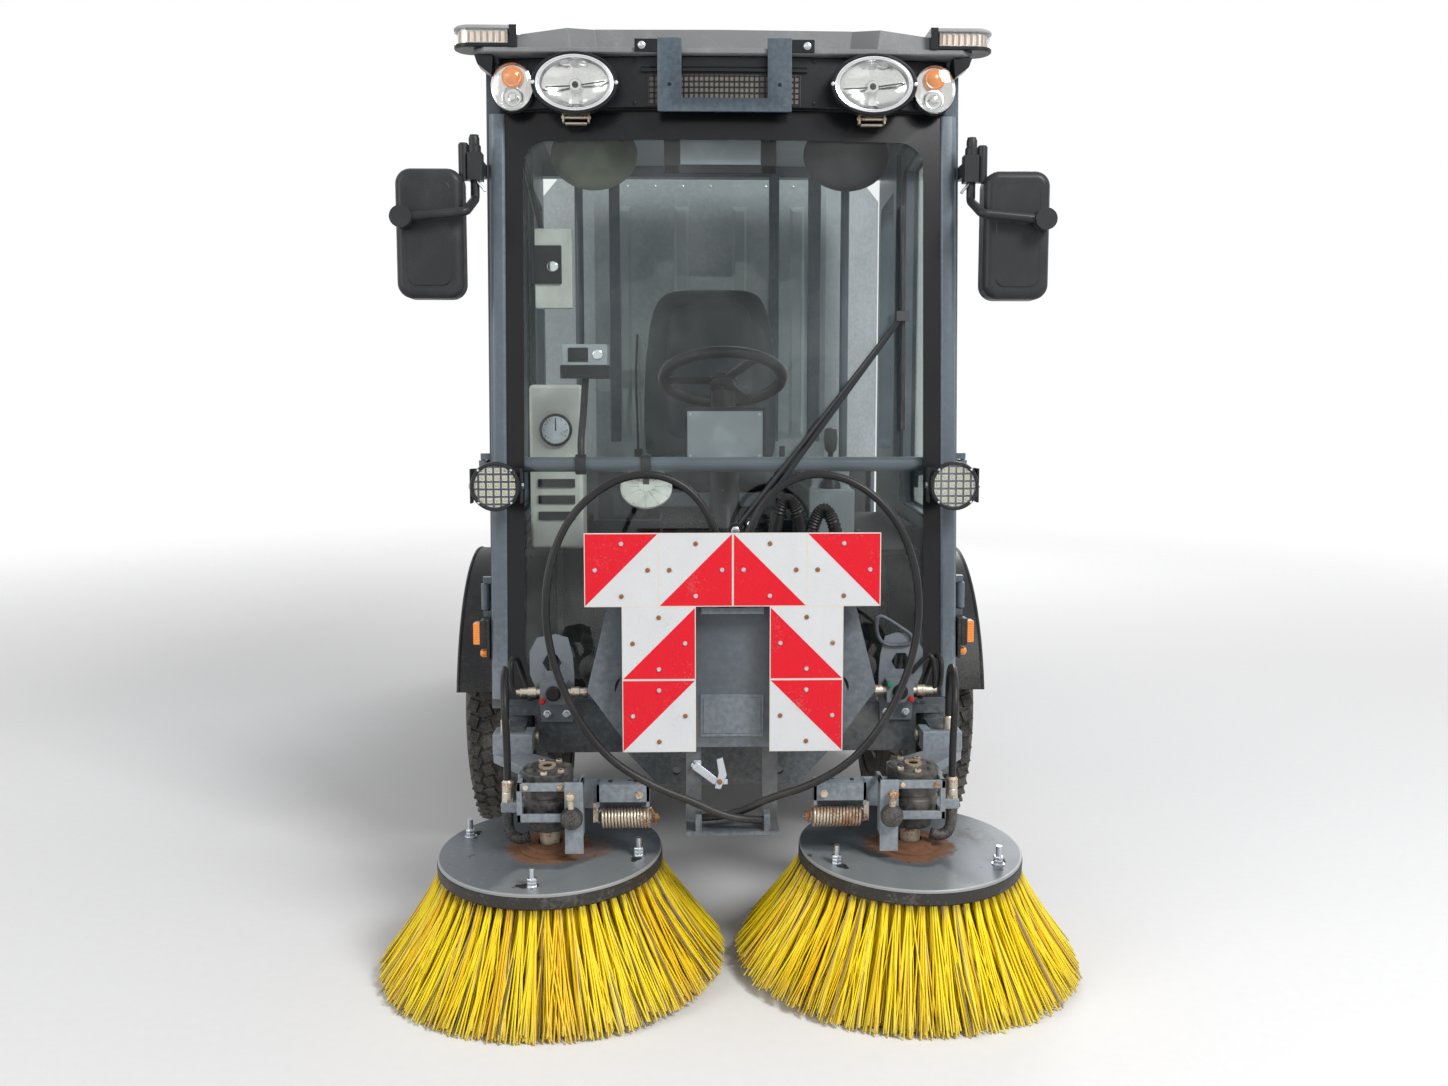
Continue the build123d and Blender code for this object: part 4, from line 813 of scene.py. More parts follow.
chrome = metal("lamp_reflector", (0.86, 0.87, 0.88), 0.16, 0.0)
lens = clear("lamp_lens", (0.97, 0.97, 0.96), 0.1)
# The amber lens is lighter on its ribs' crests and darker in their grooves: painted shade that follows the
# same ribs as the bump.
amber = Finish("amber_lens", Roughness=0.14, Coat_Weight=0.6, Coat_Roughness=0.05)
ribs = amber.axes()[2].wrap(0.004) * 250
amber.to(Base_Color=amber.mix(amber.ease(ribs, 0.3, 0.7), (0.86, 0.2, 0.01), (0.95, 0.34, 0.03)))
amber.bump(ribs, 0.0003)
for hand, side in SIDES:
    centre = Vector((hand * 0.33, -1.1765, 1.845))
    wide = (0.096, 0.067)
    head = Shape(f"headlamp_{side}", panel_black, chrome, guard_skin, zinc)
    head.use(0).turned(
        centre, FORWARD, [(1, 0), (780, 0), (985, 22), (1000, 30), (1000, 45.5), (985, 49.5), (930, 50),
         (915, 46), (900, 30), (550, 6), (1, 4)], 64, wide, whole=True
    )
    head.use(1).turned(
        centre, FORWARD, [(915, 40), (915, 47.5), (895, 48.8), (860, 47.8), (850, 46.2), (838, 46.2),
         (828, 47.5), (800, 47), (790, 40)], 64, wide, whole=True
    )
    head.use(1).turned(
        centre, FORWARD, [(800, 41), (770, 27), (580, 13), (280, 8.5), (1, 7.8), (1, 6), (280, 6.5),
         (600, 11), (790, 26), (815, 40)], 64, wide, whole=True
    )
    head.use(1).turned(centre, FORWARD, [(12, 7), (14.5, 10), (14.5, 22), (12, 26), (0.1, 27)], 28)
    head.use(2).turned(centre, FORWARD, [(7.5, 26.2), (6.5, 30), (0.1, 31)], 20)
    for turn in (0.15, pi + 0.15):
        tip = centre + Vector((0.066 * cos(turn), -0.03, 0.044 * sin(turn)))
        head.use(2).rod(centre + Vector((0, -0.016, 0)), tip, 0.0016, 8)
    for x in (-0.0915, 0.0915):
        head.use(3).turned(centre + Vector((x, -0.049, 0)), FORWARD, [(4.2, 0), (4.2, 1.2), (0.1, 2.2)], 16)
    head.done("chassis", "lamp_glass", "roof_lamps", crease=35)
    glass_front = Shape(f"headlamp_lens_{side}", lens)
    glass_front.turned(
        centre, FORWARD, [(815, 44), (815, 46.2), (600, 48.2), (300, 49.3), (1, 49.6), (1, 48), (300, 47.7),
         (600, 46.6), (790, 44)], 64, wide, whole=True
    )
    glass_front.done(slot="lamp_glass", crease=60)
    stay = Shape(f"headlamp_stay_{side}", cream)
    for x in (-0.03, 0.026):
        stay.box((centre.x + x, -1.196, 1.766), (centre.x + x + 0.004, -1.176, 1.8))
    stay.box((centre.x - 0.024, -1.19, 1.7625), (centre.x + 0.024, -1.176, 1.7665))
    stay.box((centre.x - 0.03, -1.194, 1.785), (centre.x + 0.03, -1.19, 1.792))
    stay.rod((centre.x - 0.033, -1.186, 1.778), (centre.x + 0.033, -1.186, 1.778), 0.0042, 12)
    stay.done(slot="spring_steel", rounding=0.0006)

    spot = Vector((hand * 0.472, -1.156, 1.845))
    small = (0.049, 0.055)
    lamp_piece = Shape(f"position_lamp_{side}", panel_black, chrome, amber, cream)
    for pen, profile in (
        (0, [(1, 0), (940, 0), (1000, 6), (1000, 12), (960, 14), (920, 10), (1, 6)]),
        (1, [(955, 10), (965, 21), (930, 24), (900, 18), (880, 12), (300, 8.5), (1, 8), (1, 7), (900, 7.5)])
    ):
        lamp_piece.use(pen).turned(spot, FORWARD, profile, 56, small, whole=True)
    upper, lower_spot = spot + Vector((0, -0.009, 0.0225)), spot + Vector((0, -0.009, -0.0215))
    lamp_piece.use(2).turned(
        upper, FORWARD, [(23.5, 0), (23.5, 9), (20.5, 12.5), (17.5, 11.5), (15, 13), (10, 16), (0.1, 17.5)],
        36
    )
    lamp_piece.use(1).turned(
        lower_spot, FORWARD, [(24, 0), (24, 8), (21.5, 9.5), (18.5, 4), (8, 2), (0.1, 2)], 36
    )
    lamp_piece.use(1).turned(lower_spot, FORWARD, [(9.5, 1.5), (10.5, 10), (7, 14.5), (0.1, 16)], 28)
    lamp_piece.done("chassis", "lamp_glass", "roof_lamps", crease=35)
    cover_lens = Shape(f"position_lens_{side}", lens)
    cover_lens.turned(
        spot, FORWARD, [(955, 22), (955, 24.5), (750, 29), (400, 32.2), (1, 33.5), (1, 32), (400, 30.8),
         (740, 27.5), (930, 22.2)], 56, small, whole=True
    )
    cover_lens.done(slot="lamp_glass", crease=60)

# ---------------------------------------------------------------- warning beacons
# A flat light bar on each front corner of the roof: diodes in chromed cells under a clear cover, between
# a black base and a grey lid, with a black end cap towards the middle.
cells = Finish("beacon_cells", Roughness=0.22)
cell_x, cell_y, cell_z = cells.axes()
stripe = cells.ease(abs((cell_x * 0.7 + cell_y * 0.7).wrap(0.0095) - 0.00475), 0.0014, 0.003)
band = cells.ease(abs(cell_z - 1.9485), 0.009, 0.0125)
inner_tone = cells.mix(cells.noise(90, 3), (0.72, 0.6, 0.52), (0.9, 0.86, 0.82))
inner_tone = cells.mix(stripe, (0.42, 0.3, 0.24), inner_tone)
cells.to(Base_Color=cells.mix(band, inner_tone, (0.6, 0.61, 0.62)), Metallic=0.55 + stripe * 0.2)
cells.bump(stripe, 0.0012)
lid_skin = rubber("beacon_lid", (0.3, 0.305, 0.31), 0.45, 0.3)


def beacon_outline(inset, z, inner=0.458):
    """The bar's plan with rounded outer corners, inset all round."""
    front, back, corner = -1.203, -1.121, 0.038
    points = [(inner + inset, back - inset), (inner + inset, front + inset)]
    points += arc(0.6 - corner, front + corner, corner - inset, -90, 90, 12)
    points += arc(0.6 - corner, back - corner, corner - inset, 0, 90, 12)
    return [(x, y, z) for x, y in points]


for hand, side in SIDES:
    bar_body = Shape(f"beacon_{side}", panel_black, cells, lid_skin)
    bar_body.use(0).shell(
        [beacon_outline(i, z) for i, z in ((0.004, 1.925), (0.0, 1.927), (0.0, 1.933), (0.003, 1.9345))]
    )
    bar_body.use(1).shell([beacon_outline(0.0085, z, 0.47) for z in (1.934, 1.965)])
    bar_body.use(2).shell(
        [beacon_outline(i, z)
         for i, z in ((0.003, 1.9635), (0.0, 1.965), (0.0, 1.9695), (0.004, 1.9725), (0.02, 1.973))]
    )
    bar_body.use(0).block((457.5, -1203.5, 1925.5), (474, -1120.5, 1972.5))
    for x in (0.49, 0.57):
        bar_body.use(0).turned((x, -1.162, 1.9725), UP, [(4, 0), (4, 0.4)], 12)
    bar_body.flip(hand).done("chassis", "beacon_glass", "beacons", rounding=0.0007, crease=40)
    shell_lens = Shape(f"beacon_cover_{side}", lens)
    outer = [beacon_outline(i, z, 0.474) for i, z in ((0.0015, 1.9335), (0.0015, 1.9645))]
    inner = [beacon_outline(0.0035, z, 0.474) for z in (1.9645, 1.9335)]
    shell_lens.shell(outer + inner, ends=None)
    shell_lens.flip(hand).done(slot="beacon_glass", crease=40)
    foot_piece = Shape(f"beacon_foot_{side}", panel_black)
    foot_piece.slab(
        [(0.512, -1.188, 1.9125), (0.554, -1.188, 1.9125), (0.547, -1.188, 1.892), (0.516, -1.188, 1.868)],
        (0, 0.05, 0)
    )
    foot_piece.flip(hand).done(rounding=0.002)

# ---------------------------------------------------------------- work lamps, markers, mirrors and wiper
# Round diode lamps with cooling ribs stand before the pillars' foot; amber markers sit lower down.
# The mirrors are black mouldings on bent tubes; the wiper has two parallel arms.
diode_face = Finish("diode_face", Roughness=0.25)
dx, dy, dz = diode_face.axes()
grid = abs(dx.wrap(0.0165) - 0.00825).most(abs(dz.wrap(0.0165) - 0.00825))
cell = diode_face.ease(grid, 0.0058, 0.007)
core = 1 - diode_face.ease(grid, 0.0018, 0.0028)
face_tone = diode_face.mix(cell, (0.62, 0.63, 0.62), (0.03, 0.032, 0.035))
diode_face.to(
    Base_Color=diode_face.mix(core, face_tone, (0.78, 0.66, 0.22)), Metallic=(1 - cell) * (1 - core) * 0.85
)
diode_face.bump(cell + core, 0.0015)
for hand, side in SIDES:
    lamp_middle = Vector((0.508, -1.262, 0.963))
    work = Shape(f"work_lamp_{side}", guard_skin, diode_face, zinc)
    work.use(0).turned(
        lamp_middle, FORWARD, [(1, 2), (30, 2), (44, 10), (49, 18), (49, 30), (54.5, 34), (55, 40),
         (53.5, 45.5), (48, 46), (46.5, 42), (46, 36), (1, 36)], 56, whole=True
    )
    work.use(1).turned(
        lamp_middle, FORWARD, [(46.2, 35.5), (46.2, 38.5), (1, 38.5), (1, 35.5)], 48, whole=True
    )
    for k in range(4):
        turn = tau * (k + 0.5) / 4
        spot = lamp_middle + Vector((cos(turn) * 0.0508, -0.0455, sin(turn) * 0.0508))
        work.use(2).turned(spot, FORWARD, [(2.6, 0), (2.6, 0.8), (0.1, 1.4)], 12)
    work.blocks(
        (0, (515, -1264, 945), (531, -1188, 981)), (0, (451, -1292, 925), (455, -1262, 1001)),
        (0, (561, -1292, 925), (565, -1262, 1001)), (0, (451.5, -1266, 985), (564.5, -1262, 1001))
    )
    for x in (0.4505, 0.5655):
        work.use(2).turned((x, -1.278, 0.963), LEFT, [(7.5, -3), (7.5, 3)], 6)
    work.flip(hand).done("chassis", "lamp_glass", "work_lights", rounding=0.0009, crease=35)
    cover_pane = Shape(f"work_lamp_lens_{side}", lens)
    cover_pane.turned(
        lamp_middle, FORWARD, [(47, 41.5), (47, 43), (30, 44), (1, 44.3), (1, 43), (30, 42.7), (46, 41.5)],
        48, whole=True
    )
    cover_pane.flip(hand).done(slot="lamp_glass", crease=60)
    fin = Shape("fin").block((-0.9, -6.5, -4), (0.9, 6.5, 5.5))
    fins = []
    for k in range(36):
        turn = tau * k / 36
        out = Vector((cos(turn), 0, sin(turn)))
        spot = lamp_middle + out * 0.0485 + Vector((0, -0.0235, 0))
        fins.append(((hand * spot.x, spot.y, spot.z), (hand * out.x, 0, out.z), (-hand * out.z, 0, out.x)))
    stamped(f"work_lamp_fins_{side}", fin, fins, guard_skin, "chassis", "lamp_glass")

    marker = Shape(f"side_marker_{side}", guard_skin, amber, panel_black)
    marker.blocks(
        (0, (537, -1225, 560), (545, -1185, 654)), (1, (545, -1222, 596), (575, -1188, 646)),
        (0, (545, -1224, 590), (560, -1186, 652))
    )
    marker.use(1).turned((0.545, -1.205, 0.574), LEFT, [(10, 0), (10, 12), (6, 16), (0.1, 17)], 24)
    marker.flip(hand).done("chassis", "amber_lens", "side_markers", rounding=0.0018)

mirror_skin = rubber("mirror_plastic", (0.024, 0.025, 0.027), 0.46, 0.35, 380)
softened("mirrors", mirror_skin, 0.0015, name="mirror_mouldings", flat=4)
silver = metal("mirror_glass", (0.9, 0.91, 0.92), 0.12, 0.0)


def rounded(low_x, high_x, low_z, high_z, r, y):
    """An upright rectangle with rounded corners."""
    points = arc(high_x - r, low_z + r, r, -90, 90, 6) + arc(high_x - r, high_z - r, r, 0, 90, 6)
    points += arc(low_x + r, high_z - r, r, 90, 90, 6) + arc(low_x + r, low_z + r, r, 180, 90, 6)
    return [(x, y, z) for x, z in points]


for hand, side in SIDES:
    extra = Shape(f"mirror_parts_{side}", mirror_skin, silver, zinc)
    extra.use(0).shell(
        [rounded(0.603, 0.703, 1.403, 1.634, 0.022, -1.2345),
         rounded(0.606, 0.7, 1.406, 1.631, 0.02, -1.2372)]
    )
    extra.use(1).shell(
        [rounded(0.586, 0.72, 1.384, 1.653, 0.028, -1.1735),
         rounded(0.586, 0.72, 1.384, 1.653, 0.028, -1.1712)]
    )
    extra.use(0).turned(
        (0.706, -1.235, 1.549), FORWARD, [(18.5, 0), (22.2, 10), (22.2, 40), (19, 43.5), (0.1, 43.8)], 24
    )
    extra.use(0).turned((0.5582, -1.178, 1.655), UP, [(15, 0), (15, 60), (12, 64), (12, 78), (9, 84.5)], 24)
    extra.use(0).turned((0.582, -1.18, 1.64), UP, [(11.5, 0), (11.5, 78), (9, 82)], 24)
    lead = [(0.556, -1.182, 1.65), (0.548, -1.186, 1.634), (0.538, -1.188, 1.622), (0.534, -1.189, 1.616)]
    extra.use(2).tube(curve_points(lead), 0.0032, 8)
    extra.flip(hand).done(crease=35)
    knob_ribs = []
    for k in range(22):
        turn = tau * k / 22
        out = Vector((cos(turn), 0, sin(turn)))
        spot = Vector((0.706, -1.26, 1.549)) + out * 0.0219
        knob_ribs.append(((hand * spot.x, spot.y, spot.z), (hand * out.x, 0, out.z), BACK))
    rib = Shape("rib").block((-13, -1.3, -1), (13, 1.3, 1.8))
    stamped(f"mirror_knob_ribs_{side}", rib, knob_ribs, mirror_skin)

wiper_paint = painted("wiper_paint", (0.012, 0.013, 0.015), 0.15, 0.35, 0.4)
softened("wiper", wiper_paint, 0.0008, name="wiper_arms")


def screen_y(x, z):
    """The windscreen's front face."""
    return -1.237 + (z - 0.45) * 0.085 - screen_bow * (1 - (x / screen_half) ** 2)


blade = Shape("wiper_blade", wiper_paint, guard_skin, zinc)
spine = [
    (0.405, screen_y(0.405, z) - lift, z) for z, lift in ((1.095, 0.009), (1.16, 0.016), (1.25, 0.021),
     (1.337, 0.024), (1.42, 0.021), (1.51, 0.016), (1.583, 0.009))
]
blade.use(0).tube(curve_points(spine, 5), 0.0042, 8)
for z in (1.13, 1.22, 1.3, 1.375, 1.455, 1.545):
    blade.use(0).box(
        (0.3995, screen_y(0.405, z) - 0.016, z - 0.01), (0.4105, screen_y(0.405, z) - 0.005, z + 0.01)
    )
blade.use(1).box(
    (0.4035, screen_y(0.405, 1.337) - 0.012, 1.325), (0.4065, screen_y(0.405, 1.337) - 0.002, 1.349)
)
blade.use(2).turned((0.022, screen_y(0.022, 0.862) - 0.034, 0.862), FORWARD, [(10, -4), (10, 4), (6, 6)], 6)
blade.use(2).turned((0.056, screen_y(0.056, 0.876) - 0.03, 0.876), FORWARD, [(8, -4), (8, 3), (5, 5)], 6)
blade.use(0).box((0.388, screen_y(0.4, 1.34) - 0.04, 1.33), (0.416, screen_y(0.4, 1.34) - 0.026, 1.352))
blade.done(crease=35)

# ---------------------------------------------------------------- cab, glass and doors
# Welded steel pillars and rails carry a bowed, bonded windscreen with a black printed border, fixed side and
# rear panes, and two framed doors on front hinges with rubber seals.
cab_paint = painted("cab_paint", (0.1, 0.124, 0.148), 0.25, 0.3, 0.35)
softened("cab_frame", cab_paint, 0.0022)
floor_mat = rubber("floor_mat", (0.016, 0.016, 0.017), 0.75, 0.5, 90)
softened("cab_floor", floor_mat, 0.002)
screen_glass = clear("screen_glass", (0.925, 0.948, 0.945), 0.03)
side_glass = clear("side_glass", (0.915, 0.94, 0.938), 0.03)
softened("windscreen", screen_glass, 0.0012, flat=0.05)
softened("cab_windows", side_glass, 0.0012)
border = Finish("printed_border", Roughness=0.22, Specular_IOR_Level=0.3)
border.to(Base_Color=border.mix(border.noise(8, 4), (0.004, 0.004, 0.005), (0.01, 0.011, 0.013)))
seal_rubber = rubber("window_seal", (0.01, 0.01, 0.011), 0.55, 0.2)


def screen_outline(inset, corner, lift, foot=0.0, head=0.0):
    """The windscreen's outline drawn in by an inset, with rounded corners, lifted off its front face."""
    low_z, high_z, wide = 0.4705 + inset + foot, 1.7995 - inset - head, screen_half - inset
    points = []
    corners = ((wide - corner, low_z + corner, -90), (wide - corner, high_z - corner, 0),
               (-wide + corner, high_z - corner, 90), (-wide + corner, low_z + corner, 180))
    for k, (cx, cz, start) in enumerate(corners):
        points += arc(cx, cz, corner, start, 90, 10)
        ahead = corners[(k + 1) % 4]
        end = (ahead[0] + corner * cos(radians(ahead[2])), ahead[1] + corner * sin(radians(ahead[2])))
        last = points[-1]
        points += [
            (last[0] + (end[0] - last[0]) * j / 14, last[1] + (end[1] - last[1]) * j / 14)
            for j in range(1, 14)
        ]
    return [Vector((x, screen_y(x, z) - lift, z)) for x, z in points]


frit = Shape("windscreen_border", border)
frit.shell(
    [screen_outline(0.0005, 0.012, 0.001), screen_outline(0.05, 0.055, 0.001, 0.002, 0.016),
     screen_outline(0.05, 0.055, 0.0001, 0.002, 0.016), screen_outline(0.0005, 0.012, 0.0001)], ends=None
)
frit.done(crease=60)
bead = Shape("windscreen_seal", seal_rubber)
bead.tube([p + Vector((0, 0.004, 0)) for p in screen_outline(-0.0045, 0.016, 0.0)], 0.0055, 8, whole=True)
bead.done(crease=60)
liner = Shape("pillar_liners", seal_rubber)
rows = []
for k in range(9):
    z = 0.5 + 1.29 * k / 8
    y = screen_y(0.49, z) + 0.01
    rows.append(
        [Vector((x, y + d, z)) for x, d in ((0.47, 0.004), (0.486, 0.002), (0.486, 0.046), (0.47, 0.046))]
    )
liner.shell(rows)
liner.done(rounding=0.002, mirror=True)
strip = Shape("pillar_strips", cab_paint)
rows = []
for k in range(13):
    z = 0.474 + 1.322 * k / 12
    y = screen_y(0.5, z)
    rows.append(
        [Vector((x, y + d, z)) for x, d in ((0.496, -0.0015), (0.4975, -0.0062), (0.503, -0.0085),
          (0.519, -0.008), (0.527, -0.005), (0.5315, 0.001), (0.5325, 0.012), (0.53, 0.0122))]
    )
strip.shell(rows)
strip.done(slot="cab_paint", crease=50, mirror=True)


def wall_x(y):
    """The cab side's outer face."""
    return 0.533 + 0.067 * (y + 1.24) / 1.43


handle_black = rubber("handle_plastic", (0.016, 0.016, 0.018), 0.42, 0.2)
window = [(-1.096, 0.861), (-1.029, 1.7985), (-0.3755, 1.7985), (-0.3755, 0.861)]
for hand, side in SIDES:
    door = f"door_{side}"
    softened(door, cab_paint, 0.0022)
    softened(f"door_glass_{side}", side_glass, 0.001)
    gasket = Shape(f"door_seals_{side}", seal_rubber)
    ring = []
    for k, (y, z) in enumerate(window):
        ny, nz = window[(k + 1) % 4]
        ring += [
            Vector((wall_x(y + (ny - y) * t) - 0.0035, y + (ny - y) * t, z + (nz - z) * t))
            for t in (0.03, 0.25, 0.5, 0.75, 0.97)
        ]
    gasket.tube(ring, 0.0062, 8, whole=True)
    gasket.tube([p - Vector((0.034, 0, 0)) for p in ring], 0.005, 8, whole=True)
    gasket.flip(hand).done(door, crease=60)
    pull = Shape(f"door_handle_{side}", handle_black, zinc)
    x = wall_x(-0.42) - 0.003
    pull.use(0).box((x - 0.001, -0.46, 0.905), (x + 0.005, -0.352, 0.975))
    pull.use(0).tube(
        curve_points([(x + 0.003, -0.452, 0.945), (x + 0.02, -0.44, 0.948), (x + 0.023, -0.405, 0.949),
          (x + 0.02, -0.372, 0.948), (x + 0.004, -0.36, 0.945)], 6), 0.0078, 10
    )
    pull.use(1).turned((x + 0.005, -0.375, 0.92), LEFT, [(10, 0), (10, 3), (7, 5)], 20)
    pull.use(0).tube(
        curve_points([(x - 0.036, -0.46, 0.8), (x - 0.06, -0.46, 0.82), (x - 0.062, -0.62, 0.82),
          (x - 0.066, -0.78, 0.82), (x - 0.046, -0.79, 0.8)], 6), 0.009, 10
    )
    pull.use(0).box((x - 0.048, -0.5, 0.7), (x - 0.038, -0.38, 0.76))
    pull.flip(hand).done(door, rounding=0.0015, crease=40)
    trim = Shape(f"door_card_{side}", guard_skin)
    card = [
        (-1.06, 0.6), (-1.075, 0.7), (-1.085, 0.835), (-0.375, 0.835), (-0.375, 0.79), (-0.46, 0.79),
        (-0.62, 0.793), (-0.9, 0.722)
    ]
    trim.shell([[(wall_x(y) - 0.0435 - d, y, z) for y, z in card] for d in (0.0, 0.004)])
    trim.flip(hand).done(door, rounding=0.0015)

# ---------------------------------------------------------------- driver's seat
# A sprung seat: a steel base in rubber bellows, and foam pads in black vinyl with piped seams.
vinyl = Finish("seat_vinyl", Specular_IOR_Level=0.3)
vinyl_cloud, vinyl_grain = vinyl.noise(9, 5), vinyl.noise(520, 2)
vinyl_tone = vinyl.mix(vinyl_cloud, (0.016, 0.021, 0.027), (0.026, 0.033, 0.041))
vinyl.to(Base_Color=vinyl_tone, Roughness=vinyl_cloud * 0.14 + vinyl_grain * 0.08 + 0.36)
vinyl.bump(vinyl_grain * 0.5 + vinyl_cloud, 0.00005)


def pad(name, centre, size, tilt, power, crown, narrow):
    """A stuffed pad: a rounded block, narrowed towards its top, blown up by cloth pressure."""
    frames, swell = 12, 0.007
    work = bmesh.new()
    bmesh.ops.create_cube(work, size=2)
    bmesh.ops.subdivide_edges(work, edges=work.edges[:], cuts=14, use_grid_fill=True)
    turn = Matrix.Rotation(tilt, 3, "X")
    for vert in work.verts:
        u, v, w = vert.co
        length = (abs(u) ** power[0] + abs(v) ** power[0]) ** (1 / power[0])
        flat = max(abs(u), abs(v)) or 1
        u, v = u * flat / max(length, 1e-6), v * flat / max(length, 1e-6)
        edge = max(abs(u), abs(v))
        w *= (1 - crown * edge**power[1])
        u *= 1 - narrow * max(0.0, v) ** 1.5
        vert.co = Vector(centre) + turn @ Vector((u * size[0] / 2, v * size[1] / 2, w * size[2] / 2))
    bmesh.ops.recalc_face_normals(work, faces=work.faces)
    piece = made(name, work, [vinyl])
    remesh = piece.modifiers.new("even", "REMESH")
    remesh.mode, remesh.voxel_size = "VOXEL", 0.008
    baked(piece)
    start = [v.co.copy() for v in piece.data.vertices]
    cloth = piece.modifiers.new("blown", "CLOTH")
    cloth.settings.use_pressure, cloth.settings.uniform_pressure_force = True, 2.5
    cloth.settings.effector_weights.gravity = 0
    cloth.settings.tension_stiffness = cloth.settings.compression_stiffness = 40
    cloth.point_cache.frame_start, cloth.point_cache.frame_end = 1, frames
    for now in range(1, frames + 1):
        bpy.context.scene.frame_set(now)
    baked(piece)
    bpy.context.scene.frame_set(1)
    for vert, place in zip(piece.data.vertices, start):
        shift = vert.co - place
        if shift.length > swell:
            vert.co = place + shift.normalized() * swell
    for face in piece.data.polygons:
        face.use_smooth = True
    piece.data.materials.clear()
    piece.data.materials.append(vinyl.material)
    settle(piece, "chassis", "seat_vinyl", "seat")


for row in (
    ("seat_cushion_pad", (-0.01, -0.16, 0.932), (0.44, 0.43, 0.088), 0.0, (5.0, 4), 0.45, 0.0),
    ("seat_back_pad", (-0.01, -0.01, 1.215), (0.425, 0.57, 0.085), radians(85.4), (6.0, 4), 0.45, 0.19),
    ("seat_back_panel", (-0.01, -0.045, 1.24), (0.3, 0.44, 0.04), radians(85.4), (5.0, 3), 0.5, 0.12),
    ("seat_thigh_pad", (-0.01, -0.175, 0.968), (0.3, 0.33, 0.026), 0.0, (4.2, 3), 0.5, 0.0),
):
    pad(*row)
seat_base = Shape("seat_base", guard_skin, steel_paint)
folds = []
for k in range(13):
    inset = 0.016 if k % 2 else 0.0
    z = 0.56 + k * 0.0235
    folds.append(
        [Vector((x, y, z)) for x, y in ((-0.17 + inset, -0.33 + inset), (0.15 - inset, -0.33 + inset),
          (0.15 - inset, 0.015 - inset), (-0.17 + inset, 0.015 - inset))]
    )
seat_base.use(0).shell(folds)
seat_base.blocks(
    (1, (-180, -350, 470.2), (160, 30, 560)), (1, (-195, -345, 842), (175, 30, 884)),
    (0, (-190, 20, 880), (170, 50, 1050)), (0, (190, -330, 895), (215, -100, 935))
)
seat_base.done("chassis", "black_plastic", "seat", rounding=0.004)
belt = Shape("seat_belt_parts", guard_skin, rusty)
belt.use(0).block((-250, 0, 900), (-225, 40, 1000)).block((206, -60, 900), (222, -30, 1010))
belt.use(0).bent([(-238, 10, 990), (-240, -10, 1100), (-244, 20, 1220), (-240, 50, 1360)], 6, 0.004, 8)
belt.done(rounding=0.003)

# ---------------------------------------------------------------- steering, display and consoles
# The wheel and its column are black mouldings with a display at its foot; a grey console with an armrest and
# lever stands at the driver's left hand, and a pale cabinet with a gauge at the right front.
cab_grey = rubber("console_plastic", (0.3, 0.325, 0.345), 0.48, 0.15, 420)
softened("steering_column", handle_black, 0.003)
softened("steering_wheel", handle_black, 0.004, flat=6)
tilt = Vector((0, 0.404999, 0.914317))
hub = Vector((0.018, -0.42, 1.215))
wheel_parts = Shape("steering_parts", handle_black, cab_grey)
side_way = Vector(LEFT)
rim_ring = [
    hub + side_way * 0.168 * cos(tau * k / 72) + tilt.cross(side_way) * 0.168 * sin(tau * k / 72)
    for k in range(72)
]
wheel_parts.use(0).tube(rim_ring, [0.0168 - 0.0007 * (k % 2) for k in range(72)], 16, whole=True)
wheel_parts.use(0).turned(hub - tilt * 0.01, tilt, [(40, 0), (40, 8), (30, 16), (0.1, 18)], 32)
wheel_parts.use(0).turned(
    hub + Vector((-0.15, -0.02, 0.008)), tilt, [(8, 0), (8, 16), (17, 22), (19, 36), (12, 47), (0.1, 50)],
    24
)
wheel_parts.done("steering_wheel", crease=40)
stub = Shape("column_shroud", handle_black)
stub.bent(
    [(18, -700, 600), (18, -662, 700), (18, -590, 850), (18, -520, 995)], 4,
    [0.052 - 0.0012 * k for k in range(13)], 20
)
stub.done(crease=50)
screen_back = Shape("display_parts", cab_grey, handle_black, border, zinc)
screen_back.use(0).slab(
    [(-0.084, -0.7465, 1.0), (0.112, -0.7465, 1.0), (0.112, -0.7465, 1.124), (-0.084, -0.7465, 1.124)],
    (0, -0.01, 0)
)
screen_back.use(1).slab(
    [(-0.092, -0.7445, 0.988), (0.121, -0.7445, 0.988), (0.121, -0.7445, 1.134), (-0.092, -0.7445, 1.134)],
    (0, -0.004, 0)
)
screen_back.use(2).slab(
    [(-0.075, -0.7148, 1.005), (0.104, -0.7148, 1.005), (0.104, -0.7148, 1.118), (-0.075, -0.7148, 1.118)],
    (0, 0.003, 0)
)
for x in (-0.076, 0.104):
    for z in (1.008, 1.116):
        screen_back.use(3).turned((x, -0.7565, z), FORWARD, [(3.5, 0), (3.5, 1.2)], 12)
screen_back.done(rounding=0.003)
pale_case = rubber("pale_case", (0.56, 0.565, 0.52), 0.42, 0.15, 420)
olive_case = rubber("olive_case", (0.105, 0.112, 0.078), 0.34, 0.15, 420)
softened("cab_consoles", cab_grey, 0.01, name="side_console", keep=lambda middle: middle.x > 0)
softened("cab_consoles", pale_case, 0.01, name="corner_cabinet", keep=lambda middle: middle.x < 0)
console = Shape("console_parts", handle_black, shade_and_gauge_black, rusty, zinc)
console.use(0).block((272, -440, 959), (368, -170, 966))
console.use(0).turned(
    (0.32, -0.48, 0.904), UP,
    [(30, 0), (28, 14), (16, 34), (7, 46), (7, 100), (16, 110), (20, 140), (17, 168), (0.1, 174)], 24
)
for row in range(3):
    for column in range(2):
        console.use(0).box(
            (0.272 + column * 0.05, -0.09 + row * 0.038, 0.904),
            (0.306 + column * 0.05, -0.068 + row * 0.038, 0.911)
        )
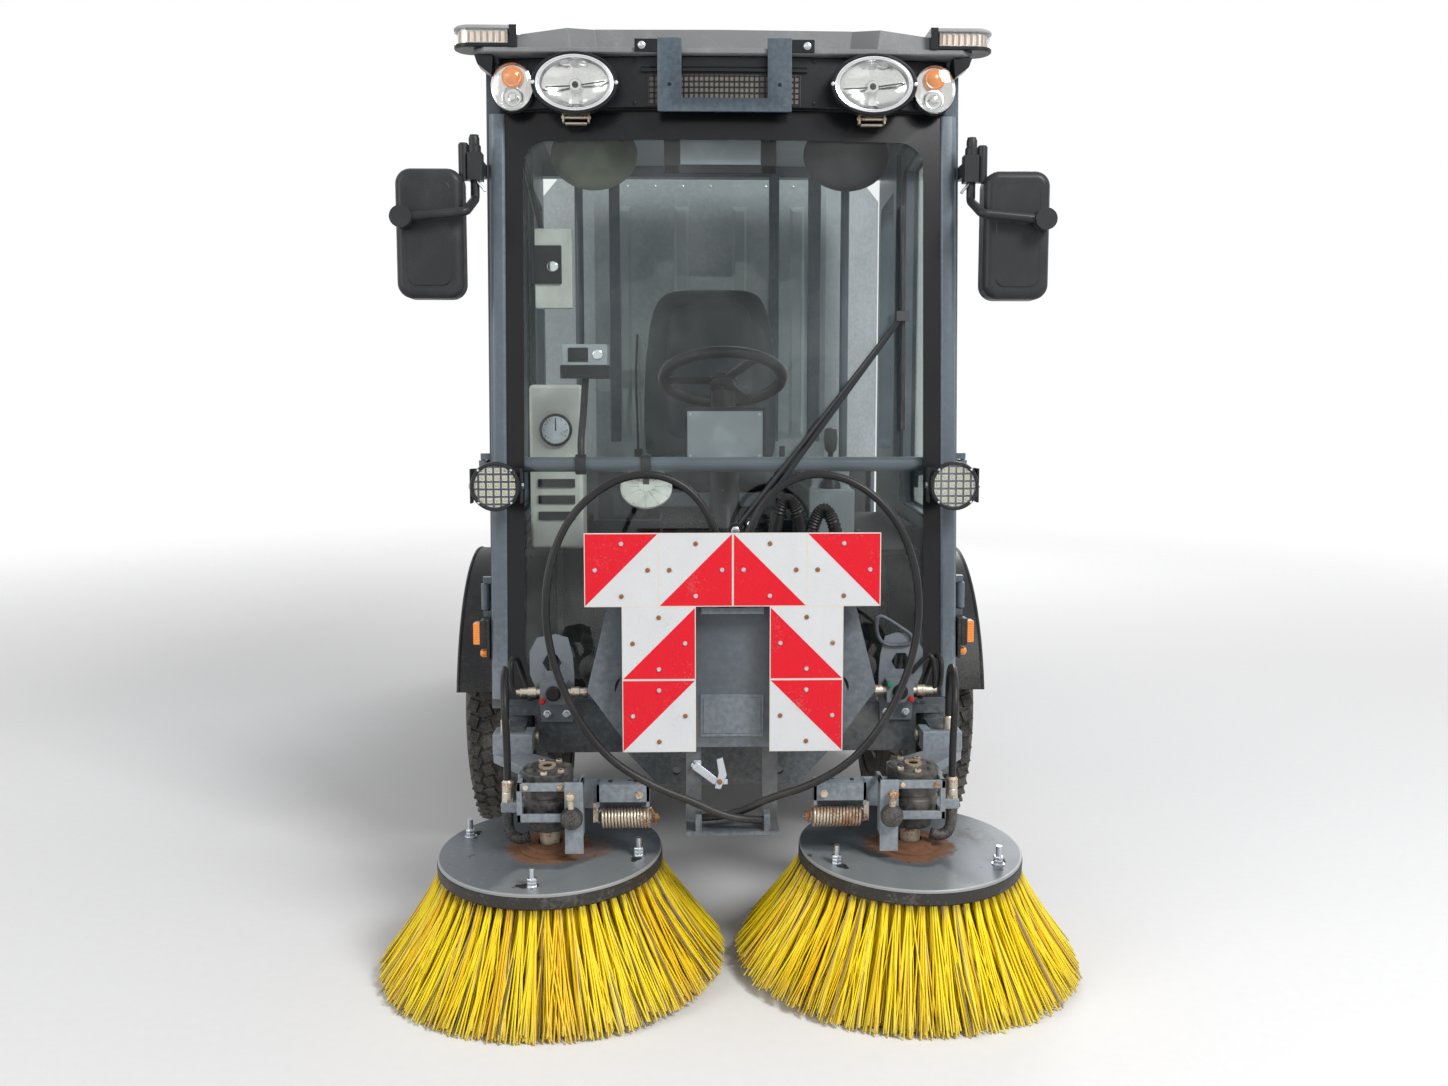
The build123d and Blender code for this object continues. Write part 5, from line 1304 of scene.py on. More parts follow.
for pen, profile in (
    (0, [(40, 0), (40, 10), (36, 13), (34, 10)]), (3, [(33.5, 8), (33.5, 10.5), (0.1, 10.5)])
):
    console.use(pen).turned((-0.405, -0.9605, 1.08), FORWARD, profile, 32)
console.use(1).block((-406.5, -972.2, 1078), (-403.5, -970.8, 1106))
for k in range(9):
    turn = radians(-30 + 30 * k)
    console.use(1).turned(
        (-0.405 + 0.028 * cos(turn), -0.9708, 1.08 + 0.028 * sin(turn)), FORWARD,
        [(1.6, 0), (1.6, 0.8)], 8
    )
for z in (0.86, 0.9, 0.94):
    console.use(0).box((-0.45, -0.965, z), (-0.36, -0.9595, z + 0.02))
console.done(rounding=0.0015, crease=40)
inside = Shape("cab_fittings", handle_black, cab_grey, silver, blue_paint, pale_case, olive_case)
# a camera monitor by the right pillar, a sun blind's frame and two convex mirrors at the top
inside.use(4).block((-448, -985, 1372), (-360, -950, 1560))
inside.use(0).block((-452, -992, 1430), (-384, -984, 1520))
inside.use(2).turned((-0.405, -0.992, 1.47), FORWARD, [(14, 0), (14, 4), (10, 6), (0.1, 6)], 24)
inside.use(0).rod((-0.43, -0.97, 1.545), (-0.47, -1.0, 1.72), 0.007, 12)
inside.use(0).rod((-0.43, -0.97, 1.545), (-0.405, -0.97, 1.545), 0.007, 12)
for x in (-0.3, 0.29):
    inside.use(5 if x < 0 else 0).turned(
        (x, -1.03, 1.72), (0, -1, 0.1), [(100, 12), (102, 16), (86, 30), (50, 41), (0.1, 45)], 36,
        (1.0, 0.82)
    )
    inside.use(2).turned(
        (x, -1.03, 1.72), (0, 1, -0.1), [(98, -14), (96, -6), (60, 3), (0.1, 7)], 36, (1.0, 0.82)
    )
    inside.use(0).rod((x, -1.05, 1.735), (x, -1.075, 1.8), 0.008, 12)
inside.blocks(
    (0, (-136, -1118, 1668), (-100, -1108, 1785)), (0, (86, -1118, 1668), (121, -1108, 1785)),
    (0, (-136, -1118, 1668), (121, -1108, 1688)), (1, (-100, -1116, 1688), (86, -1110, 1785)),
    (3, (306, 105, 1020), (346, 130, 1860)), (3, (180, 95, 1020), (212, 120, 1860)),
    (3, (-330, 105, 1020), (-296, 130, 1860))
)
inside.done(rounding=0.003)
# two small devices are clamped on the grab bar: a ribbed round heater on a bracket and a camera on a stalk
devices = Shape("bar_devices", handle_black, cab_grey, pale_case, silver)
for x in (-0.33, -0.18):
    devices.use(0).turned(
        (x - 0.012, -1.162, 1.005), LEFT, [(17.5, 0), (23.5, 0), (23.5, 24), (17.5, 24)], 28, whole=True
    )
lean = Vector((0, -0.75, 0.6614))
middle = Vector((-0.18, -1.146, 0.946))
devices.use(0).block((-187, -1160, 945), (-173, -1148, 992))
devices.use(2).turned(
    middle, lean, [(50, 0), (60, 3), (60, 10), (50, 14), (20, 14), (18, 18), (0.1, 19)], 40
)
for k in range(12):
    spoke = Matrix.Rotation(tau * k / 12, 3, lean)
    along = spoke @ Vector(LEFT)
    devices.use(2).rod(
        middle + along * 0.018 + lean * 0.015, middle + along * 0.057 + lean * 0.011, 0.0032, 8
    )
devices.use(0).bent(
    [(-330, -1150, 1022), (-331, -1132, 1060), (-326, -1122, 1120), (-320, -1118, 1206)], 6, 0.0085, 12
)
devices.blocks(
    (0, (-376, -1150, 1202), (-264, -1086, 1232)), (1, (-372, -1146, 1232), (-268, -1090, 1280)),
    (0, (-358, -1148.5, 1240), (-312, -1145, 1272))
)
devices.use(3).turned((-0.29, -1.145, 1.256), FORWARD, [(12, 0), (12, 3), (9, 4), (0.1, 4)], 20)
devices.done(rounding=0.0012, crease=40)
lining = Shape("roof_lining", cab_grey)
lining.block((-500, -1050, 1895), (500, 130, 1907))
lining.done(slot="grey_plastic", rounding=0.004)

# ---------------------------------------------------------------- front cover and warning board
# A bent steel cover hides the coupling plate. The warning board in front of it is aluminium sheet, faced with
# eight squares of red and white retro-reflective film and riveted to posts on the cover.
cover_paint = painted("cover_paint", (0.088, 0.106, 0.122), 0.25, 0.38)
softened("centre_panel", cover_paint, 0.0022)
plaque = Shape("cover_pressing", cover_paint)
for low, high, proud in ((0.498, 0.582, 0.002), (0.505, 0.575, 0.0034)):
    inset = (proud - 0.002) * 4
    outline = [(-0.062 + inset, low), (0.062 - inset, low), (0.062 - inset, high), (-0.062 + inset, high)]
    plaque.slab([(x, -1.6958 - proud, z) for x, z in outline], (0, 0.003, 0))
plaque.done(slot="chassis_paint", rounding=0.0009)

film = Finish("reflective_film", Specular_IOR_Level=0.3)
film_x, _, film_z = film.axes()
module, low_foot, high_foot = 0.141, 0.479, 0.761
half = module / 2
across = abs(film_x)
top = film_z.over(high_foot)
shift = (1 - top) * half
foot = top * (module * 2) + low_foot
stripe = (across - shift + film_z - foot) / module
middle = stripe.over(1.0) * (1 - stripe.over(2.0))
red_share = (1 - top) * middle + top * (1 - middle)
cell_u, cell_v = (across - shift).wrap(module), (film_z - foot).wrap(module)
margin = cell_u.least(module - cell_u).least(cell_v.least(module - cell_v))
weave = abs((film_x + film_z).wrap(0.0044) - 0.0022)
weave = weave.least(abs((film_x - film_z).wrap(0.0044) - 0.0022))
line = 1 - film.ease(weave, 0.0001, 0.0006)
blotch, fine = film.noise(14, 5), film.noise(240, 3)
white = film.mix(line * 0.45 + blotch * 0.25, (0.67, 0.68, 0.69), (0.42, 0.43, 0.45))
red = film.mix(line * 0.25 + blotch * 0.2, (0.72, 0.004, 0.018), (0.48, 0.002, 0.012))
face = film.mix(red_share, white, red)
face = film.mix(1 - film.ease(margin, 0.0014, 0.0022), face, (0.62, 0.6, 0.54))
grime = film.ease(blotch * 0.5 + fine * 0.5, 0.56, 0.75) * 0.35
face = film.mix(grime * 0.8, face, (0.34, 0.3, 0.26))
film.to(Base_Color=face, Roughness=line * 0.12 + grime * 0.3 + 0.26)
film.bump(line * -0.6 + fine * 0.3, 0.0002)
softened("warning_board", film, 0.0008)
light_rivets, dark_screws = [], []
for hand in (-1, 1):
    squares = ((0.0, high_foot), (module, high_foot), (half, low_foot), (half, low_foot + module))
    for square_x, square_z in squares:
        for du, dv in ((0.5, 0.145), (0.5, 0.855), (0.145, 0.5), (0.855, 0.5)):
            x, z = square_x + du * module, square_z + dv * module
            at_top = square_z >= high_foot
            band = (x - (0 if at_top else half) + z - (high_foot if at_top else low_foot)) / module
            on_red = (1 < band < 2) != at_top
            place = ((hand * x, -1.7402, z), FORWARD, LEFT)
            (light_rivets if on_red else dark_screws).append(place)
stamped(
    "board_rivets", Shape("rivet").lathe((0, 0, 0), UP, dome, 16), light_rivets, zinc, "chassis",
    "sign_sheet"
)
stamped(
    "board_screws", Shape("screw").lathe((0, 0, 0), UP, dome, 16), dark_screws, rusty, "chassis",
    "sign_sheet"
)

# ---------------------------------------------------------------- control cables
# Two stiff black Bowden cables leave the clamps under the cover, cross, loop round the board and go down
# into glands on the cover's shelf.
cable_skin = rubber("cable_sheath", (0.014, 0.014, 0.015), 0.42, 0.2, 500)
fitting = metal("cable_ferrules", (0.66, 0.6, 0.5), 0.35, 0.35)


def cord_piece(name, points, radius, finish):
    """A smooth round cord along its route's points."""
    curve = bpy.data.curves.new(name, "CURVE")
    curve.dimensions = "3D"
    curve.bevel_depth, curve.bevel_resolution, curve.resolution_u = radius, 4, 10
    curve.use_fill_caps = True
    spline = curve.splines.new("NURBS")
    spline.points.add(len(points) - 1)
    for point, place in zip(spline.points, points):
        point.co = (*place, 1)
    spline.order_u = 3
    spline.use_endpoint_u = True
    curve.materials.append(finish.material)
    return linked(name, curve)


for hand, side in SIDES:
    rows = (
        (-0.06, -1.734 + hand * 0.009, 0.345), (-0.028, -1.734 + hand * 0.009, 0.345),
        (0.02, -1.734 + hand * 0.014, 0.356), (0.078, -1.734 + hand * 0.012, 0.384), (0.152, -1.75, 0.414),
        (0.24, -1.756, 0.47), (0.31, -1.756, 0.57), (0.352, -1.752, 0.69), (0.356, -1.742, 0.812),
        (0.318, -1.73, 0.925), (0.24, -1.722, 0.998), (0.15, -1.716, 1.018), (0.072, -1.713, 0.98),
        (0.028, -1.712, 0.9), (0.016, -1.712, 0.83), (0.016, -1.712, 0.775)
    )
    route = [(hand * x, y, z) for x, y, z in rows]
    cable = cord_piece(f"bowden_cable_{side}", route, 0.0075, cable_skin)
    settle(cable, "chassis", "soft_rubber", f"control_cable_{side}")

# ---------------------------------------------------------------- valves and pipes behind the cover
# Steel plates bolted on the cross beam carry the hydraulic couplings of the brushes. Ribbed moulded pipes and
# formed steel pipes run from them behind the cover, and a sprung latch hangs under the board.
ribbed = rubber("ribbed_pipe", (0.012, 0.012, 0.013), 0.5, 0.25, 380)
red_cap = rubber("red_caps", (0.52, 0.02, 0.014), 0.4, 0.2, 380)
green_ring = rubber("green_rings", (0.02, 0.23, 0.13), 0.45, 0.2, 380)
beam_front = -1.38


def plate_outline(spots, y):
    return [Vector((x, y, z)) for x, z in spots]


for hand, side in SIDES:
    plate = Shape(f"valve_plate_{side}", steel_paint, fitting, ribbed, zinc, red_cap, green_ring)
    edge_spots = [
        (0.428, 0.56), (0.428, 0.61), (0.412, 0.64), (0.372, 0.648), (0.345, 0.64), (0.335, 0.6),
        (0.332, 0.56), (0.332, 0.52), (0.336, 0.455), (0.372, 0.455), (0.405, 0.455), (0.408, 0.51)
    ]
    corners = arc(0.38, 0.585, 0.021, 0, 300, 5)
    hole_spots = []
    for corner, after in zip(corners, corners[1:] + corners[:1]):
        hole_spots += [corner, tuple((a + b) / 2 for a, b in zip(corner, after))]
    front, back = beam_front - 0.0055, beam_front - 0.0005
    plate.use(0).shell(
        [plate_outline(edge_spots, front), plate_outline(hole_spots, front),
         plate_outline(hole_spots, back), plate_outline(edge_spots, back)], ends=None
    )
    # a valve block with two couplings lying across, a plug and its hexagon adaptors
    plate.use(0).box((0.346, front - 0.03, 0.5), (0.404, front + 0.002, 0.548))
    coupling = [
        (0.0085, 0), (0.0085, 0.012), (0.012, 0.013), (0.012, 0.03), (0.0095, 0.031), (0.0095, 0.046),
        (0.007, 0.048), (0.007, 0.056)
    ]
    plate.use(1).lathe((0.4, front - 0.016, 0.524), LEFT, coupling, 20)
    plate.use(1).lathe((0.35, front - 0.016, 0.524), (-1, 0, 0), coupling, 20)
    plate.use(2).turned(
        (0.375, front - 0.028, 0.524), FORWARD, [(16.5, 0), (16.5, 6), (13, 9), (13, 12), (6, 12)], 28
    )
    plate.use(5).turned((0.352, front - 0.029, 0.541), FORWARD, [(6, 0), (6, 8), (4, 9)], 16)
    plate.use(4).turned((0.398, front - 0.029, 0.508), FORWARD, [(6, 0), (6.5, 10), (4, 13)], 16)
    for x in (0.35, 0.392):
        plate.use(3).turned(
            (x, front + 0.001, 0.472), FORWARD, [(9.5, 0), (9.5, 2), (7, 2.5), (7, 8), (6, 9)], 6
        )
    # formed steel pipes from the couplings, over the beam and down behind it
    for x, reach, rise in ((0.456, 0.012, 0.06), (0.294, -0.012, 0.075)):
        line = curve_points(
            [(x - reach, front - 0.016, 0.524), (x + reach * 0.6, front - 0.014, 0.532),
             (x + reach, front - 0.004, 0.524 + rise), (x + reach * 0.4, front + 0.03, 0.53 + rise),
             (x - reach * 0.5, front + 0.062, 0.545), (x - reach * 2.2, front + 0.06, 0.47)], 6
        )
        plate.use(2).tube(line, 0.0058, 10)
    plate.flip(hand)
    plate.done(slot="chassis_paint", crease=40)

    boot = Shape(f"ribbed_pipe_{side}", ribbed, zinc)
    line = curve_points(
        [(0.262, beam_front + 0.02, 0.48), (0.276, beam_front - 0.02, 0.535), (0.29, -1.47, 0.59),
         (0.262, -1.56, 0.612), (0.222, -1.64, 0.602), (0.205, -1.69, 0.596)], 14
    )
    boot.use(0).tube(line, [0.0245 if k % 3 == 1 else 0.0205 for k in range(len(line))], 20)
    boot.use(1).tube(line[4:7], 0.0262, 20)
    boot.flip(hand).done(crease=50)

loops = Shape("heater_pipes", ribbed)
for x, wide, high in ((0.1, 0.06, 0.935), (0.178, 0.058, 0.915)):
    line = curve_points(
        [(x, -1.345, 0.49), (x - 0.006, -1.372, 0.64), (x - 0.002, -1.392, 0.83),
         (x + wide * 0.25, -1.4, high - 0.012), (x + wide * 0.62, -1.4, high),
         (x + wide, -1.394, high - 0.06), (x + wide + 0.006, -1.38, 0.7), (x + wide, -1.345, 0.49)], 16
    )
    loops.tube(line, [0.015 if k % 2 else 0.0128 for k in range(len(line))], 16)
loops.done(crease=50)

handle = Shape("release_handle", steel_paint, handle_black)
spots = [
    (0.33, 0.64), (0.326, 0.672), (0.338, 0.684), (0.384, 0.656), (0.402, 0.64), (0.396, 0.624),
    (0.35, 0.622)
]
handle.use(0).tube(
    curve_points([(x, beam_front - 0.0085, z) for x, z in spots], 6, whole=True), 0.0042, 10, whole=True
)
grip = [(0.404, beam_front - 0.004, 0.56), (0.44, -1.4, 0.6), (0.452, -1.402, 0.56), (0.45, -1.402, 0.52)]
handle.use(1).tube(curve_points(grip, 6), 0.0058, 10)
handle.done(slot="spring_steel", crease=40)

latch = Shape("cover_latch", zinc, rusty)
latch.use(0).slab(
    [(-0.078, -1.6905, 0.432), (-0.07, -1.6905, 0.446), (-0.03, -1.6905, 0.414), (-0.008, -1.6905, 0.41),
     (-0.008, -1.6905, 0.4), (-0.036, -1.6905, 0.4)], (0, 0.005, 0)
)
latch.use(0).slab(
    [(-0.03, -1.696, 0.452), (-0.018, -1.696, 0.456), (-0.01, -1.696, 0.42), (-0.022, -1.696, 0.392),
     (-0.034, -1.696, 0.394), (-0.026, -1.696, 0.424)], (0, 0.006, 0)
)
latch.use(0).turned((-0.073, -1.684, 0.438), FORWARD, [(8, 0), (8, 6), (6, 6.2), (6, 11)], 6)
latch.use(1).turned((-0.024, -1.685, 0.407), FORWARD, [(5.5, 0), (5.5, 13), (4, 15)], 12)
latch.use(0).block((-75, -1685.5, 428), (-60, -1683, 448))
latch.done(slot="spring_steel", rounding=0.0008)

# ---------------------------------------------------------------- side brushes
# A flat steel disc carries a plastic ring with two rows of drilled tufts. Most bristles are yellow
# polypropylene and some are grey-brown and dusty; they splay outwards and are trimmed level with the ground.
disc_radius, disc_thickness, tip_radius, bristle_drop = 0.225, 0.032, 0.355, 0.199
spin = Vector((0.017452, -0.061049, 0.997982))
disc_foot = Vector((0.363, -1.625, 0.22114))
sideways = Vector((1, 0, -spin.x / spin.z)).normalized()
backwards = spin.cross(sideways)


def on_disc(radius, turn, height):
    """A point of the left brush: its radius, its turn from outboard, its height above the disc's foot."""
    ray = sideways * cos(turn) + backwards * sin(turn)
    return disc_foot + ray * radius + spin * height


def bristle_tree():
    """A node tree that grows bent, splayed bristles from root points that hold their tips and tones."""
    work = ShapeTree(
        "grown_bristles", Roots="Geometry", Thickness="Float", Scatter="Float", Seed="Int",
        Finish="Material"
    )
    node, given = work.node, work.given
    # each bristle is a loose edge chain from its root, so the mesh's edges become curves
    lines = node("GeometryNodeMeshToCurve", {"Mesh": given["Roots"]})
    strand = work.attribute("strand", "INT")
    low = node("ShaderNodeMath", {0: given["Scatter"], 1: -1.0}, operation="MULTIPLY")
    links = {"ID": strand, "Seed": given["Seed"], 0: low.outputs[0], 1: given["Scatter"]}
    shake = node("FunctionNodeRandomValue", links, data_type="FLOAT_VECTOR")
    spot = node("GeometryNodeSplineParameter", {})
    reach = node("ShaderNodeMath", {0: spot.outputs["Factor"], 1: 1.4}, operation="POWER")
    push = node("ShaderNodeVectorMath", {0: shake.outputs[0], "Scale": reach.outputs[0]}, operation="SCALE")
    moved = node("GeometryNodeSetPosition", {"Geometry": lines.outputs[0], "Offset": push.outputs[0]})
    links = {2: 0.75, 3: 1.2, "ID": strand, "Seed": given["Seed"]}
    width = node("FunctionNodeRandomValue", links, data_type="FLOAT")
    radius = node("ShaderNodeMath", {0: given["Thickness"], 1: width.outputs[1]}, operation="MULTIPLY")
    thick = node("GeometryNodeSetCurveRadius", {"Curve": moved.outputs[0], "Radius": radius.outputs[0]})
    ring = node("GeometryNodeCurvePrimitiveCircle", {"Resolution": 3, "Radius": 1.0}, mode="RADIUS")
    links = {"Curve": thick.outputs[0], "Profile Curve": ring.outputs[0], "Fill Caps": True}
    skin = node("GeometryNodeCurveToMesh", links)
    if "Scale" in skin.inputs:
        work.tree.links.new(node("GeometryNodeInputRadius", {}).outputs[0], skin.inputs["Scale"])
    return work.ended(skin.outputs[0])


growing = bristle_tree()
straw = Finish("bristle_plastic", Specular_IOR_Level=0.45)
tone_of = straw.node("Attribute", {"attribute_name": "tone", "attribute_type": "GEOMETRY"}, {}, "Fac")
way_down = straw.node("Attribute", {"attribute_name": "way", "attribute_type": "GEOMETRY"}, {}, "Fac")
speck = straw.noise(120, 3)
yellow = straw.node(
    "ValToRGB", {"stops": [(0.0, (0.96, 0.71, 0.006)), (0.35, (0.98, 0.8, 0.016)),
      (0.6, (0.95, 0.66, 0.005)), (0.76, (0.88, 0.54, 0.01)), (0.84, (0.6, 0.46, 0.22)),
      (0.93, (0.26, 0.19, 0.12)), (1.0, (0.14, 0.1, 0.07))]}, {"Fac": tone_of}, "Color"
)
dirty = straw.ease(way_down + speck * 0.3, 0.9, 1.25) * 0.4
yellow = straw.mix(dirty, yellow, (0.3, 0.24, 0.17))
root_shade = 1 - straw.ease(way_down, 0.0, 0.12)
yellow = straw.mix(root_shade * 0.6, yellow, (0.16, 0.1, 0.02))
straw.to(Base_Color=yellow, Roughness=speck * 0.15 + dirty * 0.3 + 0.3)
straw.bump(speck, 0.0002)


def bristle_lines(name, hand, seed):
    """Loose edge chains for one brush's bristles, with their strand numbers, tones and way down."""
    chance = random.Random(seed)
    points, edges, strands, tones, ways = [], [], [], [], []
    count = 0
    ground = 0.0035
    for row, tufts, root_radius, spread, tip in (
        (0, 62, 0.2165, 0.0052, tip_radius - 0.006), (1, 62, 0.196, 0.0052, tip_radius - 0.03),
        (2, 48, 0.168, 0.006, tip_radius - 0.075),
    ):
        for tuft in range(tufts):
            about = tau * (tuft + 0.5 * row) / tufts
            tuft_tone = chance.random()
            for _ in range(22 if row < 2 else 14):
                turn = about + chance.uniform(-1, 1) * spread / root_radius
                root = root_radius + chance.uniform(-1, 1) * spread * 0.9
                lean = chance.gauss(0, 0.045)
                out = tip - abs(chance.gauss(0, 0.013)) - (0.22 * (root_radius - root))
                tone = tuft_tone * 0.55 + chance.random() * 0.22
                if chance.random() < 0.12:
                    tone = chance.uniform(0.74, 1.0)
                short = chance.uniform(0.0, 0.016) if chance.random() < 0.35 else 0.0
                steps = 5
                for k in range(steps + 1):
                    t = k / steps
                    radius = root + (out - root) * (t**1.12)
                    place = on_disc(radius, turn + lean * t, -0.0005 - (bristle_drop - 0.0015 - short) * t)
                    place.z = max(place.z, ground)
                    points.append((hand * place.x, place.y, place.z))
                    strands.append(count)
                    tones.append(tone)
                    ways.append(t)
                    if k:
                        edges.append((len(points) - 2, len(points) - 1))
                count += 1
    mesh = bpy.data.meshes.new(name)
    mesh.from_pydata(points, edges, [])
    mesh.attributes.new("strand", "INT", "POINT").data.foreach_set("value", strands)
    mesh.attributes.new("tone", "FLOAT", "POINT").data.foreach_set("value", tones)
    mesh.attributes.new("way", "FLOAT", "POINT").data.foreach_set("value", ways)
    return linked(name, mesh)


def disc_finish(hand):
    """Grey-blue paint worn pale in a sector and by the studs, rusty round the hub, on a black ring."""
    plate = Finish(f"disc_steel_{'left' if hand > 0 else 'right'}")
    x, y, z = plate.axes()
    east, north = x - hand * disc_foot.x, y - disc_foot.y
    reach = (east * east + north * north) ** 0.5
    turn = plate.node("Math", {"operation": "ARCTAN2"}, {0: north, 1: east * hand})
    cloud, fine, speck = plate.noise(9, 6), plate.noise(70, 4), plate.noise(34, 2)
    tone = plate.mix(cloud, (0.08, 0.094, 0.108), (0.125, 0.142, 0.16))
    sector = plate.ease(turn + cloud * 0.5, -2.75, -2.6) * (1 - plate.ease(turn + cloud * 0.5, -0.95, -0.8))
    sector = sector * plate.ease(reach + (cloud - 0.5) * 0.04, 0.105, 0.115)
    tone = plate.mix(sector * 0.75, tone, (0.225, 0.24, 0.245))
    scuff = plate.ease(fine * 0.6 + cloud * 0.4, 0.56, 0.66)
    tone = plate.mix(scuff * 0.3, tone, (0.32, 0.31, 0.29))
    rust = 1 - plate.ease(reach + (fine - 0.5) * 0.05 + (cloud - 0.5) * 0.06, 0.078, 0.096)
    streak = plate.ease(cloud, 0.58, 0.66) * (1 - plate.ease(reach, 0.1, 0.16)) * 0.7
    rust = rust.most(streak)
    tone = plate.mix(rust, tone, plate.mix(fine, (0.085, 0.04, 0.022), (0.24, 0.11, 0.05)))
    spots = plate.ease(speck, 0.7, 0.72) * 0.8
    tone = plate.mix(spots, tone, (0.035, 0.03, 0.028))
    edge = plate.ease(reach, 0.2205, 0.2222) * 0.8
    tone = plate.mix(edge, tone, (0.36, 0.37, 0.37))
    plate.to(Base_Color=tone, Roughness=cloud * 0.2 + rust * 0.35 + 0.32, Metallic=0.15 * (1 - rust))
    return plate.bump(fine * 0.6 + rust * speck, 0.0005)


ring_skin = Finish("brush_ring_plastic", Specular_IOR_Level=0.35)
ring_cloud, ring_fine = ring_skin.noise(16, 5), ring_skin.noise(150, 3)
scraped = ring_skin.ease(ring_cloud * 0.6 + ring_fine * 0.4, 0.5, 0.62)
ring_tone = ring_skin.mix(scraped, (0.03, 0.028, 0.026), (0.085, 0.08, 0.074))
ring_skin.to(Base_Color=ring_tone, Roughness=scraped * 0.2 + 0.5)
ring_skin.bump(ring_fine + scraped, 0.0005)
bracket_paint = painted("bracket_paint", (0.135, 0.162, 0.188), 0.35, 0.36, 0.6)
motor_paint = painted("motor_paint", (0.022, 0.024, 0.026), 0.45, 0.36, 0.5)
stud_turns = {1: (-149, -31, 53), -1: (-165, -85, 23)}

